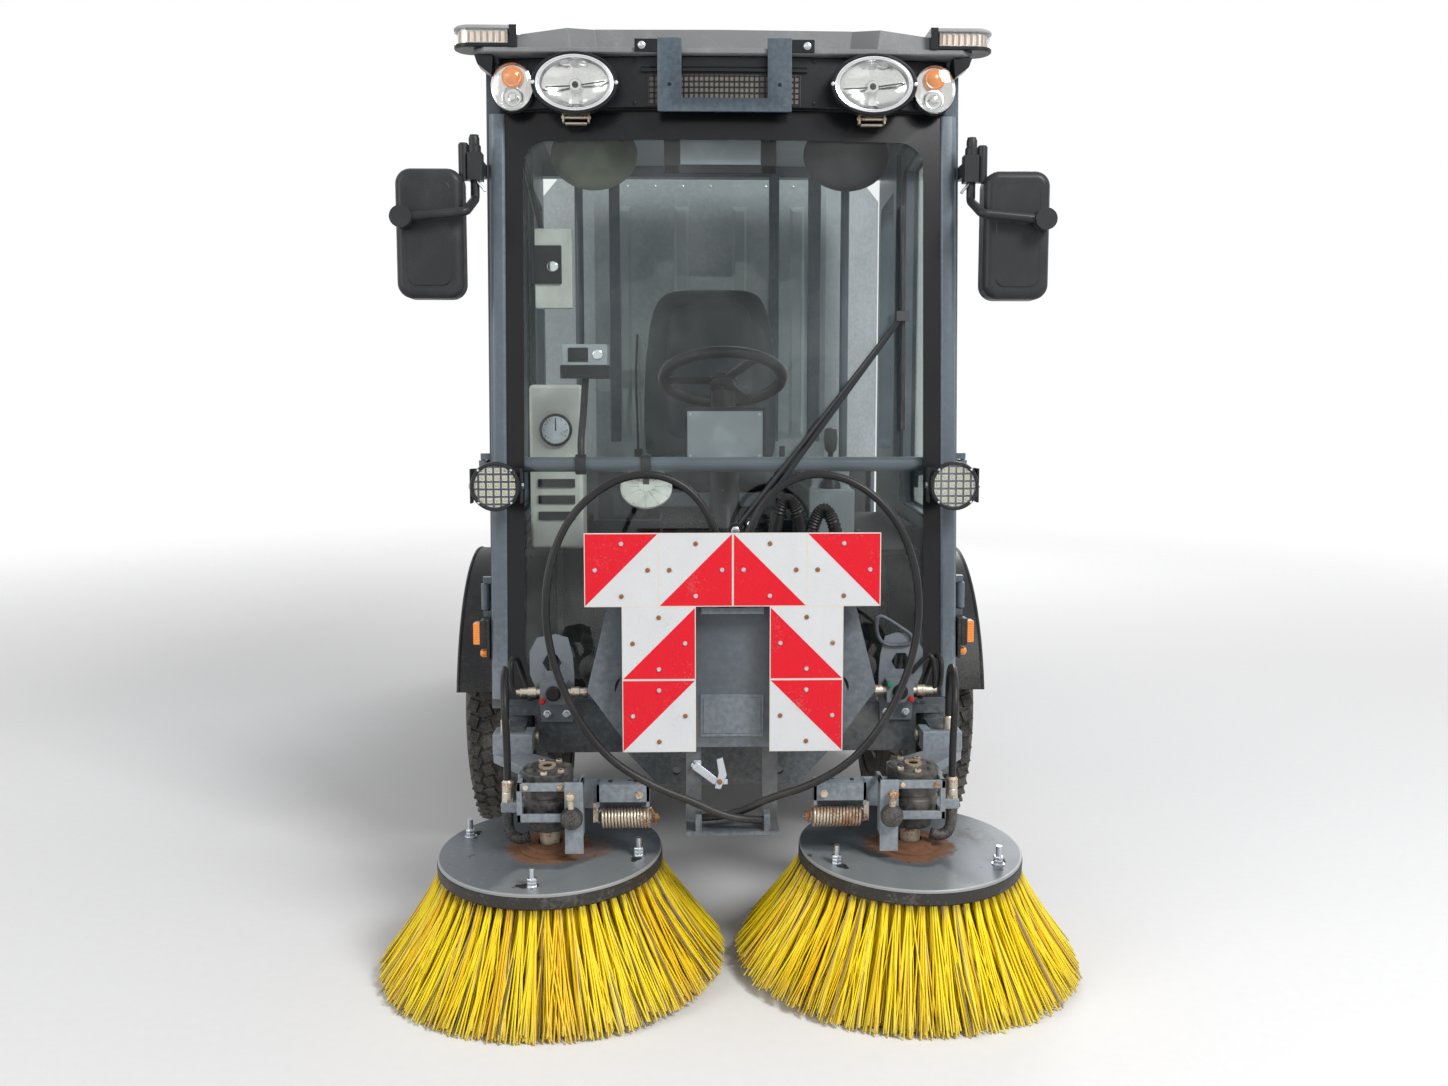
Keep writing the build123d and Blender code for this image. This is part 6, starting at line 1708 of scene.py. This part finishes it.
for hand, side in SIDES:
    brush, arm = f"brush_{side}", f"brush_arm_{side}"
    tufts = bristle_lines(f"bristle_tufts_{side}", hand, 11 + hand)
    modifier = tufts.modifiers.new("grown", "NODES")
    modifier.node_group = growing
    set_inputs(modifier, Thickness=0.002, Scatter=0.0044, Seed=5 + hand, Finish=straw.material)
    baked(tufts)
    for vert in tufts.data.vertices:
        vert.co.z = max(vert.co.z, 0.001)
    settle(tufts, brush, "brush_bristle", f"bristles_{side}")

    studs_at = [(0.186, radians(turn)) for turn in stud_turns[hand]]
    steel = disc_finish(hand)
    disc = Shape(f"brush_disc_{side}_plate", steel, ring_skin, shade_and_gauge_black)
    top = disc_thickness
    disc.use(0).lathe(
        disc_foot, spin,
        [(0.12, top - 0.006), (disc_radius - 0.0015, top - 0.006), (disc_radius - 0.001, top - 0.0012),
         (disc_radius - 0.0022, top), (0.0245, top), (0.0245, top - 0.006)], 96, whole=True
    )
    disc.use(1).lathe(
        disc_foot, spin,
        [(0.14, 0.0), (disc_radius - 0.004, 0.0), (disc_radius, 0.004), (disc_radius, top - 0.0075),
         (disc_radius - 0.003, top - 0.006), (0.14, top - 0.006)], 96, whole=True
    )
    disc.use(0).lathe(
        disc_foot, spin,
        [(0.0245, 0.01), (0.06, 0.01), (0.06, top + 0.004), (0.046, top + 0.006), (0.044, top + 0.014),
         (0.03, top + 0.016), (0.0245, top + 0.016)], 48, whole=True
    )
    # painted shade: two flat dark discs beside each stud, laid on the plate where it is not cut through
    for reach, turn in studs_at:
        for ahead, size in ((0.085, 0.0105), (0.15, 0.0062)):
            shade_disc_foot = on_disc(reach, turn + ahead, top - 0.001)
            disc.use(2).lathe(shade_disc_foot, spin, [(size, 0), (size, 0.0014)], 20)
    disc.flip(hand).done(brush, "brush_steel", f"brush_disc_{side}", crease=40)

    studs = Shape(f"disc_studs_{side}", zinc)
    for reach, turn in studs_at:
        foot = on_disc(reach, turn, top)
        studs.turned(foot, spin, [(12.5, 0), (12.5, 2.2)], 24)
        studs.turned(foot, spin, [(9.6, 2.2), (10, 3.5), (10, 9), (9.2, 10.5)], 6)
        studs.turned(foot, spin, [(9.6, 10.8), (10, 11.8), (10, 16), (9.2, 17.2)], 6)
        thread = [(0.0056 + 0.0004 * (k % 2), 0.017 + 0.0011 * k) for k in range(20)]
        studs.lathe(foot, spin, thread, 14)
    studs.flip(hand).done(brush, "brush_steel", crease=40)
    shaft = Shape(f"brush_shaft_{side}", cream)
    shaft.turned(disc_foot, spin, [(20, 2), (20, 100), (18, 102)], 32)
    shaft.flip(hand).done(brush, "brush_steel", crease=40)

    # motor with its ring of screws, in a square bracket on the arm's plate
    motor = Shape(f"brush_motor_{side}", motor_paint, shade_and_gauge_black, cream)
    motor.use(0).turned(
        disc_foot, spin, [(20.3, 80.5), (40, 80.5), (43, 84), (43, 98), (50.5, 102), (51.5, 106),
         (51.5, 142), (49, 145), (49, 150), (51.5, 153), (51.5, 196), (50, 200), (48.5, 201), (30, 201),
         (29, 203.5), (20, 204.5), (0.1, 204.5)], 48
    )
    motor.use(2).turned(
        disc_foot, spin, [(12.5, 204), (21.5, 204), (21.5, 207.5), (12.5, 207.5)], 40, (1, 0.8), whole=True
    )
    # painted shade: a flat dark disc inside the ring on the motor's top, where it is not hollowed
    motor.use(1).turned(disc_foot, spin, [(12.5, 204.6), (0.1, 204.6)], 24)
    for k in range(7):
        foot = on_disc(0.04, tau * k / 7 + 0.3, 0.2005)
        motor.use(2 if k % 3 else 0).turned(foot, spin, [(7.2, 0), (7.2, 4.5), (6.4, 6)], 6)
        # painted shade: a flat dark dot on each cream screw head stands for its socket
        if k % 3:
            motor.use(1).turned(foot + spin * 0.0061, spin, [(3.4, 0), (0.1, 0.1)], 6)
    motor.flip(hand).done(arm, "black_plastic", f"brush_arm_{side}", crease=35)

    plate = Shape(f"arm_plate_{side}", bracket_paint)
    outline = (
        (0.413, -1.48), (0.497, -1.48), (0.425, -1.585), (0.425, -1.645), (0.323, -1.645), (0.323, -1.565)
    )
    plate.slab([(x, y, 0.39) for x, y in outline], (0, 0, 0.02))
    for x in (0.413, 0.477):
        plate.box((x, -1.47, 0.408), (x + 0.02, -1.42, 0.452))
        plate.turned((x, -1.42, 0.43), LEFT, [(22, 0), (22, 20)], 32)
    plate.block((413, -1486, 408), (497, -1466, 452))
    plate.block((403, -1651, 334), (459, -1625, 354))
    plate.block((165, -1645, 340), (333, -1637, 400))
    plate.flip(hand).done(arm, "chassis_paint", f"brush_arm_{side}", rounding=0.002)
    pin = Shape(f"lift_pin_{side}", cream)
    pin.turned((0.407, -1.42, 0.43), LEFT, [(11, 0), (12, 2), (12, 94), (11, 96)], 24)
    pin.flip(hand).done(arm, "spring_steel", crease=40)

    low_x, high_x, front = 0.291, 0.421, -1.702
    frame_bars = Shape(f"motor_bracket_{side}", bracket_paint, cream)
    for z in (0.33, 0.392):
        frame_bars.box((low_x + 0.032, front, z), (high_x, front + 0.008, z + 0.016))
        frame_bars.box((high_x - 0.008, front, z), (high_x, -1.636, z + 0.016))
    frame_bars.box((high_x - 0.01, front, 0.33), (high_x, front + 0.01, 0.408))
    frame_bars.box((low_x, front - 0.006, 0.268), (low_x + 0.036, front + 0.001, 0.411))
    frame_bars.box((low_x, front, 0.4), (low_x + 0.008, -1.64, 0.411))
    frame_bars.box((low_x, front, 0.3), (low_x + 0.006, -1.67, 0.411))
    for x in (low_x + 0.045, high_x - 0.018):
        frame_bars.use(1).turned((x, front, 0.4), FORWARD, [(6.2, -1), (6.2, 3), (5, 4.5)], 6)
    frame_bars.flip(hand).done(arm, "chassis_paint", rounding=0.0016)
    stop = Shape(f"buffer_{side}", guard_skin, cream)
    middle = Vector((low_x + 0.022, front - 0.006, 0.342))
    stop.use(0).turned(
        middle, FORWARD, [(18.5, -4), (22, 2), (22.5, 10), (19.5, 20), (12, 24), (0.1, 25)], 32
    )
    stop.use(1).rod(middle + Vector((0, -0.01, 0.014)), middle + Vector((0.002, -0.012, 0.04)), 0.0065, 16)
    stop.use(1).turned(
        middle + Vector((0.002, -0.012, 0.036)), UP, [(0.1, -3), (9, 2), (11, 8), (9, 14), (0.1, 18)], 20
    )
    stop.flip(hand).done(arm, crease=40)

    # slotted cover over the spring, with its bolt; its slots are thin dark boxes on top, painted shade, not
    # cut through
    cover = Shape(f"spring_cover_{side}", bracket_paint, shade_and_gauge_black, cream)
    cover.blocks(
        (0, (162, -1684, 395), (266, -1645.5, 401)), (0, (162, -1690, 366), (266, -1684, 401)),
        (0, (162, -1690, 356), (168, -1645.5, 401)), (0, (260, -1690, 356), (266, -1645.5, 401))
    )
    for x in (0.186, 0.236):
        cover.use(1).box((x, -1.672, 0.4008), (x + 0.008, -1.655, 0.4014))
    cover.use(1).block((186, -1661, 400.8), (206, -1655, 401.4))
    cover.use(2).turned((0.182, -1.69, 0.38), FORWARD, [(8.5, 0), (8.5, 2), (6.5, 2), (6.5, 7)], 6)
    cover.flip(hand).done(arm, "chassis_paint", rounding=0.0014)

    # coil spring with hooked ends, clevis and pull wire
    spring_y, spring_z, in_x, out_x = -1.668, 0.328, 0.16, 0.256
    coil_radius, windings, steps = 0.0185, 15, 16
    coil = []
    for k in range(windings * steps + 1):
        turn = tau * k / steps
        x = in_x + (out_x - in_x) * k / (windings * steps)
        coil.append((x, spring_y + coil_radius * sin(turn), spring_z + coil_radius * cos(turn)))
    spring = Shape(f"coil_spring_{side}", cream, rusty)
    spring.use(0).tube(coil, 0.0026, 7)
    spring.tube(
        curve_points([(out_x, spring_y, spring_z + coil_radius), (out_x + 0.009, spring_y, spring_z + 0.01),
          (out_x + 0.012, spring_y, spring_z - 0.002), (out_x + 0.006, spring_y, spring_z - 0.01)]), 0.0026,
        7
    )
    spring.use(1).tube(
        curve_points([(in_x, spring_y, spring_z + coil_radius), (in_x - 0.006, spring_y, spring_z + 0.006),
          (in_x - 0.01, spring_y, spring_z - 0.006), (in_x - 0.004, spring_y, spring_z - 0.012)]), 0.0028, 7
    )
    spring.use(0).box(
        (out_x + 0.008, spring_y - 0.002, spring_z - 0.009), (out_x + 0.018, -1.6455, spring_z + 0.03)
    )
    spring.use(1).rod((0.1425, spring_y, spring_z), (in_x - 0.003, spring_y, spring_z), 0.0036, 12)
    spring.turned((0.146, spring_y, spring_z), LEFT, [(8.5, 0), (8.5, 6), (5.5, 6), (5.5, 10)], 6)
    spring.flip(hand).done(arm, "spring_steel", f"tension_spring_{side}", crease=50)

    # the motor's pressure hose: a crimped fitting, an upright loop over the arm and back down to its union
    hose_rows = (
        (0.446, -1.638, 0.368), (0.446, -1.638, 0.432), (0.447, -1.64, 0.496), (0.45, -1.638, 0.546),
        (0.455, -1.606, 0.59), (0.461, -1.553, 0.607), (0.466, -1.499, 0.59), (0.47, -1.467, 0.546),
        (0.471, -1.466, 0.492), (0.471, -1.466, 0.458),
    )
    hose_route = [(hand * x, y, z) for x, y, z in hose_rows]
    hose = cord_piece(f"motor_hose_{side}", hose_route, 0.0075, cable_skin)
    settle(hose, arm, "soft_rubber", f"brush_hose_{side}")
    crimps = Shape(f"hose_fittings_{side}", fitting)
    crimps.turned((0.446, -1.638, 0.334), UP, [(9.5, 0), (9.5, 16), (12.5, 16), (12.5, 28), (9.5, 28)], 6)
    crimps.turned(
        (0.446, -1.638, 0.358), UP,
        [(8, 0), (11.5, 2), (11.5, 14), (10.2, 16), (11.5, 18), (11.5, 36), (8, 40)], 24
    )
    crimps.turned((0.471, -1.466, 0.446), UP, [(12, 0), (12, 10), (9.5, 12)], 6)
    crimps.turned((0.471, -1.466, 0.452), UP, [(8, 0), (11, 2), (11, 26), (8, 30)], 24)
    crimps.flip(hand).done(arm, "spring_steel", crease=40)
    elbow = Shape(f"hose_elbow_{side}", guard_skin)
    bend = curve_points(
        [(0.446, -1.638, 0.34), (0.446, -1.64, 0.31), (0.438, -1.645, 0.288), (0.42, -1.65, 0.281),
         (0.402, -1.648, 0.286)], 10
    )
    elbow.tube(bend, [0.0105 + 0.0012 * (k % 2) for k in range(len(bend))], 16)
    elbow.flip(hand).done(arm, "soft_rubber", crease=60)
    softened(f"brush_knuckle_{side}", steel_paint, 0.0025)

# ---------------------------------------------------------------- tanks, engine and suction mouth
# Two moulded water tanks stand behind the pivot. The diesel engine sits on the rear rails behind louvred
# steel covers, and a steel mouth with rubber flaps draws the dirt up a wide duct.
tank_plastic = rubber("tank_plastic", (0.022, 0.024, 0.027), 0.5, 0.45, 260)
softened("water_tanks", tank_plastic, 0.01)
tank_parts = Shape("tank_fittings", guard_skin, zinc)
for k in range(5):
    z = 0.52 + 0.08 * k
    tank_parts.use(0).box((0.5665, 0.68, z), (0.5735, 0.86, z + 0.03))
tank_parts.use(0).turned((0.47, 0.79, 0.9145), UP, [(52, 0), (52, 6), (46, 8), (46, 16), (40, 18.5)], 40)
tank_parts.use(0).bent([(560, 700, 470), (560, 760, 462), (545, 860, 470), (500, 905, 500)], 6, 0.013, 12)
tank_parts.use(1).turned((0.5735, 0.72, 0.48), LEFT, [(14, -4), (14, 4), (9, 10)], 6)
tank_parts.done("rear_module", rounding=0.003, mirror=True)

cast_iron = painted("cast_iron", (0.045, 0.048, 0.05), 0.5, 0.55, 0.4, 160)
softened("engine_block", cast_iron, 0.01, flat=2)
engine = Shape("engine_parts", cast_iron, zinc, guard_skin, cream)
for k in range(4):
    y = 1.175 + k * 0.125
    engine.use(0).box((-0.252, y, 0.5), (-0.244, y + 0.07, 0.76))
    engine.box((0.244, y, 0.5), (0.252, y + 0.07, 0.76))
    engine.use(1).box((-0.1, y, 0.879), (0.1, y + 0.085, 0.898))
engine.use(2).turned((0.0, 1.0895, 0.64), FORWARD, [(90, 0), (90, 12), (78, 20), (90, 28), (90, 36)], 48)
engine.use(2).turned((0.13, 1.0895, 0.79), FORWARD, [(45, 0), (45, 14), (36, 20), (45, 28), (45, 34)], 36)
engine.use(3).bent([(200, 1200, 885), (235, 1320, 896), (235, 1500, 896), (200, 1660, 890)], 8, 0.02, 14)
engine.use(2).block((-235, 1735, 470), (235, 1790, 860))
engine.done("rear_module", "engine_iron", rounding=0.003, crease=35)
fins = [((x, 1.7895, z), BACK, UP) for x in [-0.22 + 0.0088 * k for k in range(51)] for z in (0.565, 0.765)]
stamped(
    "radiator_fins", Shape("fin").block((-95, -0.9, -2), (95, 0.9, 5)), fins, cream, "rear_module",
    "engine_iron"
)

mouth_steel = painted("mouth_steel", (0.06, 0.072, 0.084), 0.7, 0.45, 0.9)
softened("suction_mouth", mouth_steel, 0.0025)
skirt = Shape("mouth_skirt", seal_rubber, zinc)
skirt.blocks(
    (0, (-328, 558.5, 12.5), (328, 560.2, 75)), (0, (-328, 799.8, 12.5), (328, 801.5, 75)),
    (0, (-331.5, 565, 12.5), (-329.8, 795, 75)), (0, (329.8, 565, 12.5), (331.5, 795, 75)),
    (1, (-325, 557, 60), (325, 559, 72)), (1, (-325, 801, 60), (325, 803, 72))
)
for k in range(9):
    z = 0.26 + 0.075 * k
    skirt.use(0).turned((0, 0.68, z), UP, [(99, -8), (108, 0), (99, 8)], 56, whole=True)
skirt.done("rear_module", "soft_rubber", rounding=0.0006, crease=50)

# ---------------------------------------------------------------- hopper and its tailgate
# Welded from light grey painted sheet with pressed stiffening ribs. It tips back on pins over the rear axle,
# and its tailgate hangs from two hinges on a rubber seal.
body_paint = painted("body_paint", (0.34, 0.365, 0.38), 0.35, 0.34, 0.35)
dark_body = painted("cover_steel", (0.072, 0.09, 0.108), 0.4, 0.34, 0.4)
softened("hopper_shell", body_paint, 0.006, flat=0.5)
ribs = Shape("hopper_ribs", body_paint, dark_body, seal_rubber)


def pressed(origin, along, up, out, length, width, height):
    """A rib pressed outwards from a sheet: its ends and sides slope."""
    a, u, o = Vector(along), Vector(up), Vector(out)
    return [
        [Vector(origin) + a * (x * length * s) + u * (y * width * t) + o * h
         for x, y in ((-0.5, -0.5), (0.5, -0.5), (0.5, 0.5), (-0.5, 0.5))]
        for s, t, h in ((1.0, 1.0, -0.001), (0.95, 0.6, height), (0.94, 0.54, height + 0.0005))
    ]


for x in (-0.3, -0.1, 0.1, 0.3):
    ribs.use(0).shell(pressed((x, 0.4705, 1.42), UP, LEFT, FORWARD, 0.8, 0.055, 0.0075))
for hand in (-1, 1):
    for y in (0.8, 1.02, 1.24, 1.46, 1.68):
        ribs.use(0).shell(pressed((hand * 0.5995, y, 1.4), UP, BACK, (hand, 0, 0), 0.74, 0.05, 0.0065))
    near, far = sorted((hand * 0.5995, hand * 0.6045))
    ribs.use(1).box((near, 0.76, 0.94), (far, 1.84, 0.985))
for x in (-0.33, -0.11, 0.11, 0.33):
    ribs.use(0).shell(pressed((x, 1.16, 1.9245), BACK, LEFT, UP, 1.1, 0.06, 0.006))
ribs.use(2).tube(
    [(0.588, 1.8505, 0.948), (0.588, 1.8505, 1.842), (0.53, 1.8505, 1.91), (-0.53, 1.8505, 1.91),
     (-0.588, 1.8505, 1.842), (-0.588, 1.8505, 0.948)], 0.0011, 8, whole=True
)
ribs.done("hopper", "body_paint", rounding=0.0012)
rivets = [
    ((hand * 0.604, y, 0.9625), (hand, 0, 0), BACK) for hand in (-1, 1)
    for y in [0.79 + 0.0875 * k for k in range(13)]
]
rivets += [
    ((x, 0.4702, z), FORWARD, LEFT) for x in [-0.38 + 0.095 * k for k in range(9)]
    for z in (0.955, 1.885)
]
stamped(
    "hopper_rivets", Shape("rivet").lathe((0, 0, 0), UP, dome, 12), rivets, zinc, "hopper", "body_paint"
)
softened("hopper_door", body_paint, 0.004, flat=0.5)
gate = Shape("tailgate_parts", body_paint, dark_body, zinc, handle_black)
for z in (1.08, 1.32, 1.56):
    gate.use(0).shell(pressed((0, 1.8815, z), LEFT, UP, BACK, 1.02, 0.085, 0.012))
gate.use(1).block((-595, 1881.5, 937), (595, 1885.5, 985))
for x in (-0.56, 0.56):
    gate.use(1).box((x - 0.016, 1.8815, 0.985), (x + 0.016, 1.8865, 1.82))
for x in (-0.46, 0.46):
    gate.use(2).box((x - 0.026, 1.884, 0.955), (x + 0.026, 1.9, 1.035))
    gate.use(3).tube(
        curve_points([(x - 0.03, 1.9, 1.02), (x - 0.03, 1.916, 1.0), (x, 1.919, 0.978),
          (x + 0.03, 1.916, 1.0), (x + 0.03, 1.9, 1.02)], 5), 0.006, 8
    )
gate.use(3).bent(
    [(-140, 1888, 1200), (-140, 1916, 1200), (0, 1920, 1200), (140, 1916, 1200), (140, 1888, 1200)], 6,
    0.009, 10
)
gate.done("hopper_door", "body_paint", rounding=0.0015, crease=40)
gate_bolts = [((x, 1.8855, 0.961), BACK, LEFT) for x in [-0.57 + 0.0877 * k for k in range(14)]]
gate_bolts += [((x, 1.8865, z), BACK, LEFT) for x in (-0.56, 0.56) for z in (1.05, 1.25, 1.45, 1.65, 1.8)]
stamped("tailgate_bolts", hex_bolt(0.01, 0.006, 1), gate_bolts, zinc, "hopper_door", "body_paint")

# ---------------------------------------------------------------- engine covers, bumper and cylinders
# Steel side covers with rows of pressed louvres and turn locks; a folded bumper with the rear lamps; two
# hydraulic cylinders with chromed rods that tip the hopper.
softened("engine_covers", dark_body, 0.003, flat=0.5)
louvre = Shape("louvre")
foot_corners = ((-0.045, -0.007, 0.0), (0.045, -0.007, 0.0), (0.045, 0.007, 0.0), (-0.045, 0.007, 0.0))
hood_corners = (
    (-0.042, -0.006, 0.0085), (0.042, -0.006, 0.0085), (0.044, 0.005, 0.0008), (-0.044, 0.005, 0.0008)
)
louvre.shell([foot_corners, hood_corners])
slots = [
    ((hand * 0.6003, y, z), (hand, 0, 0), (0, hand, 0)) for hand in (-1, 1)
    for y, low_z in ((0.72, 0.52), (0.86, 0.52), (1.13, 0.795), (1.25, 0.795), (1.37, 0.795), (1.49, 0.795))
    for z in [low_z + 0.02 * k for k in range(int((0.885 - low_z) / 0.02) + 1)]
]
stamped("side_louvres", louvre, slots, dark_body, "rear_module", "body_paint")
rear_slots = [
    ((x, 1.8802, z), BACK, (-1, 0, 0)) for x in (-0.36, -0.24, -0.12, 0.0, 0.12, 0.24, 0.36)
    for z in [0.6 + 0.02 * k for k in range(10)]
]
stamped("rear_louvres", louvre, rear_slots, dark_body, "rear_module", "body_paint")
catches = Shape("cover_catches", handle_black, zinc, seal_rubber)
for y, z in ((0.665, 0.89), (0.665, 0.48), (0.925, 0.89), (1.74, 0.82), (1.84, 0.48)):
    catches.use(1).turned((0.5995, y, z), LEFT, [(15, 0), (15, 2.5), (11, 4), (11, 2.5), (0.1, 2.5)], 24)
catches.use(2).tube(
    [(0.6005, y, z) for y, z in arc(axle_spots["rear"], axle_height, 0.399, 16, 148, 37)], 0.0055, 8
)
catches.done("rear_module", crease=40, mirror=True)
softened("rear_bumper", steel_paint, 0.004)
# The red lens is lighter on its ribs' crests and darker in their grooves: painted shade that follows the same
# ribs as the bump.
red = Finish("red_lens", Roughness=0.16, Coat_Weight=0.6, Coat_Roughness=0.05)
red_ribs = red.axes()[0].wrap(0.005) * 200
red.to(Base_Color=red.mix(red.ease(red_ribs, 0.3, 0.7), (0.42, 0.006, 0.006), (0.56, 0.015, 0.012)))
red.bump(red_ribs, 0.0003)
tail_lamps = Shape("tail_lamps", handle_black, red, amber, chrome, zinc)
for hand in (-1, 1):
    for pen, near, far in ((1, 0.452, 0.492), (3, 0.494, 0.522), (2, 0.524, 0.568)):
        tail_lamps.use(pen).box(
            (min(hand * near, hand * far), 1.958, 0.454), (max(hand * near, hand * far), 1.9672, 0.521)
        )
    tail_lamps.use(1).turned((hand * 0.36, 1.9468, 0.5), BACK, [(32, 0), (32, 6), (28, 9), (0.1, 10)], 36)
    tail_lamps.use(4).turned((hand * 0.25, 1.9468, 0.48), BACK, [(12, 0), (12, 6), (9, 8)], 6)
tail_lamps.use(0).block((-150, 1946.8, 430), (150, 1950, 530))
tail_lamps.use(0).block((-32, 1946.8, 536), (32, 1962, 552))
tail_lamps.done("rear_module", "amber_lens", rounding=0.002)
cylinder_paint = painted("cylinder_paint", (0.018, 0.019, 0.021), 0.4, 0.34, 0.6)
softened("hopper_barrels", cylinder_paint, 0.002)
rod_chrome = metal("rod_chrome", (0.8, 0.81, 0.82), 0.12, 0.0)
softened("hopper_rods", rod_chrome, 0.0015)
glands = Shape("cylinder_glands", cylinder_paint, cream)
axis = Vector((0, -0.602407, 0.798189))
for hand in (-1, 1):
    foot = Vector((hand * 0.36, 1.68, 0.6))
    glands.use(0).turned(
        foot + axis * 0.2625, axis, [(16.5, 0), (25, 0), (25, -20), (24.5, -22), (24.5, -4), (16.5, 4.5)],
        32, whole=True
    )
    glands.use(1).turned(
        foot + axis * 0.045 + Vector((0, 0.02, 0.015)), Vector((0, 0.798, 0.602)),
        [(8.5, 0), (8.5, 12), (6.5, 12), (6.5, 22)], 6
    )
glands.done("hopper_barrels", "cylinder_steel", crease=40)
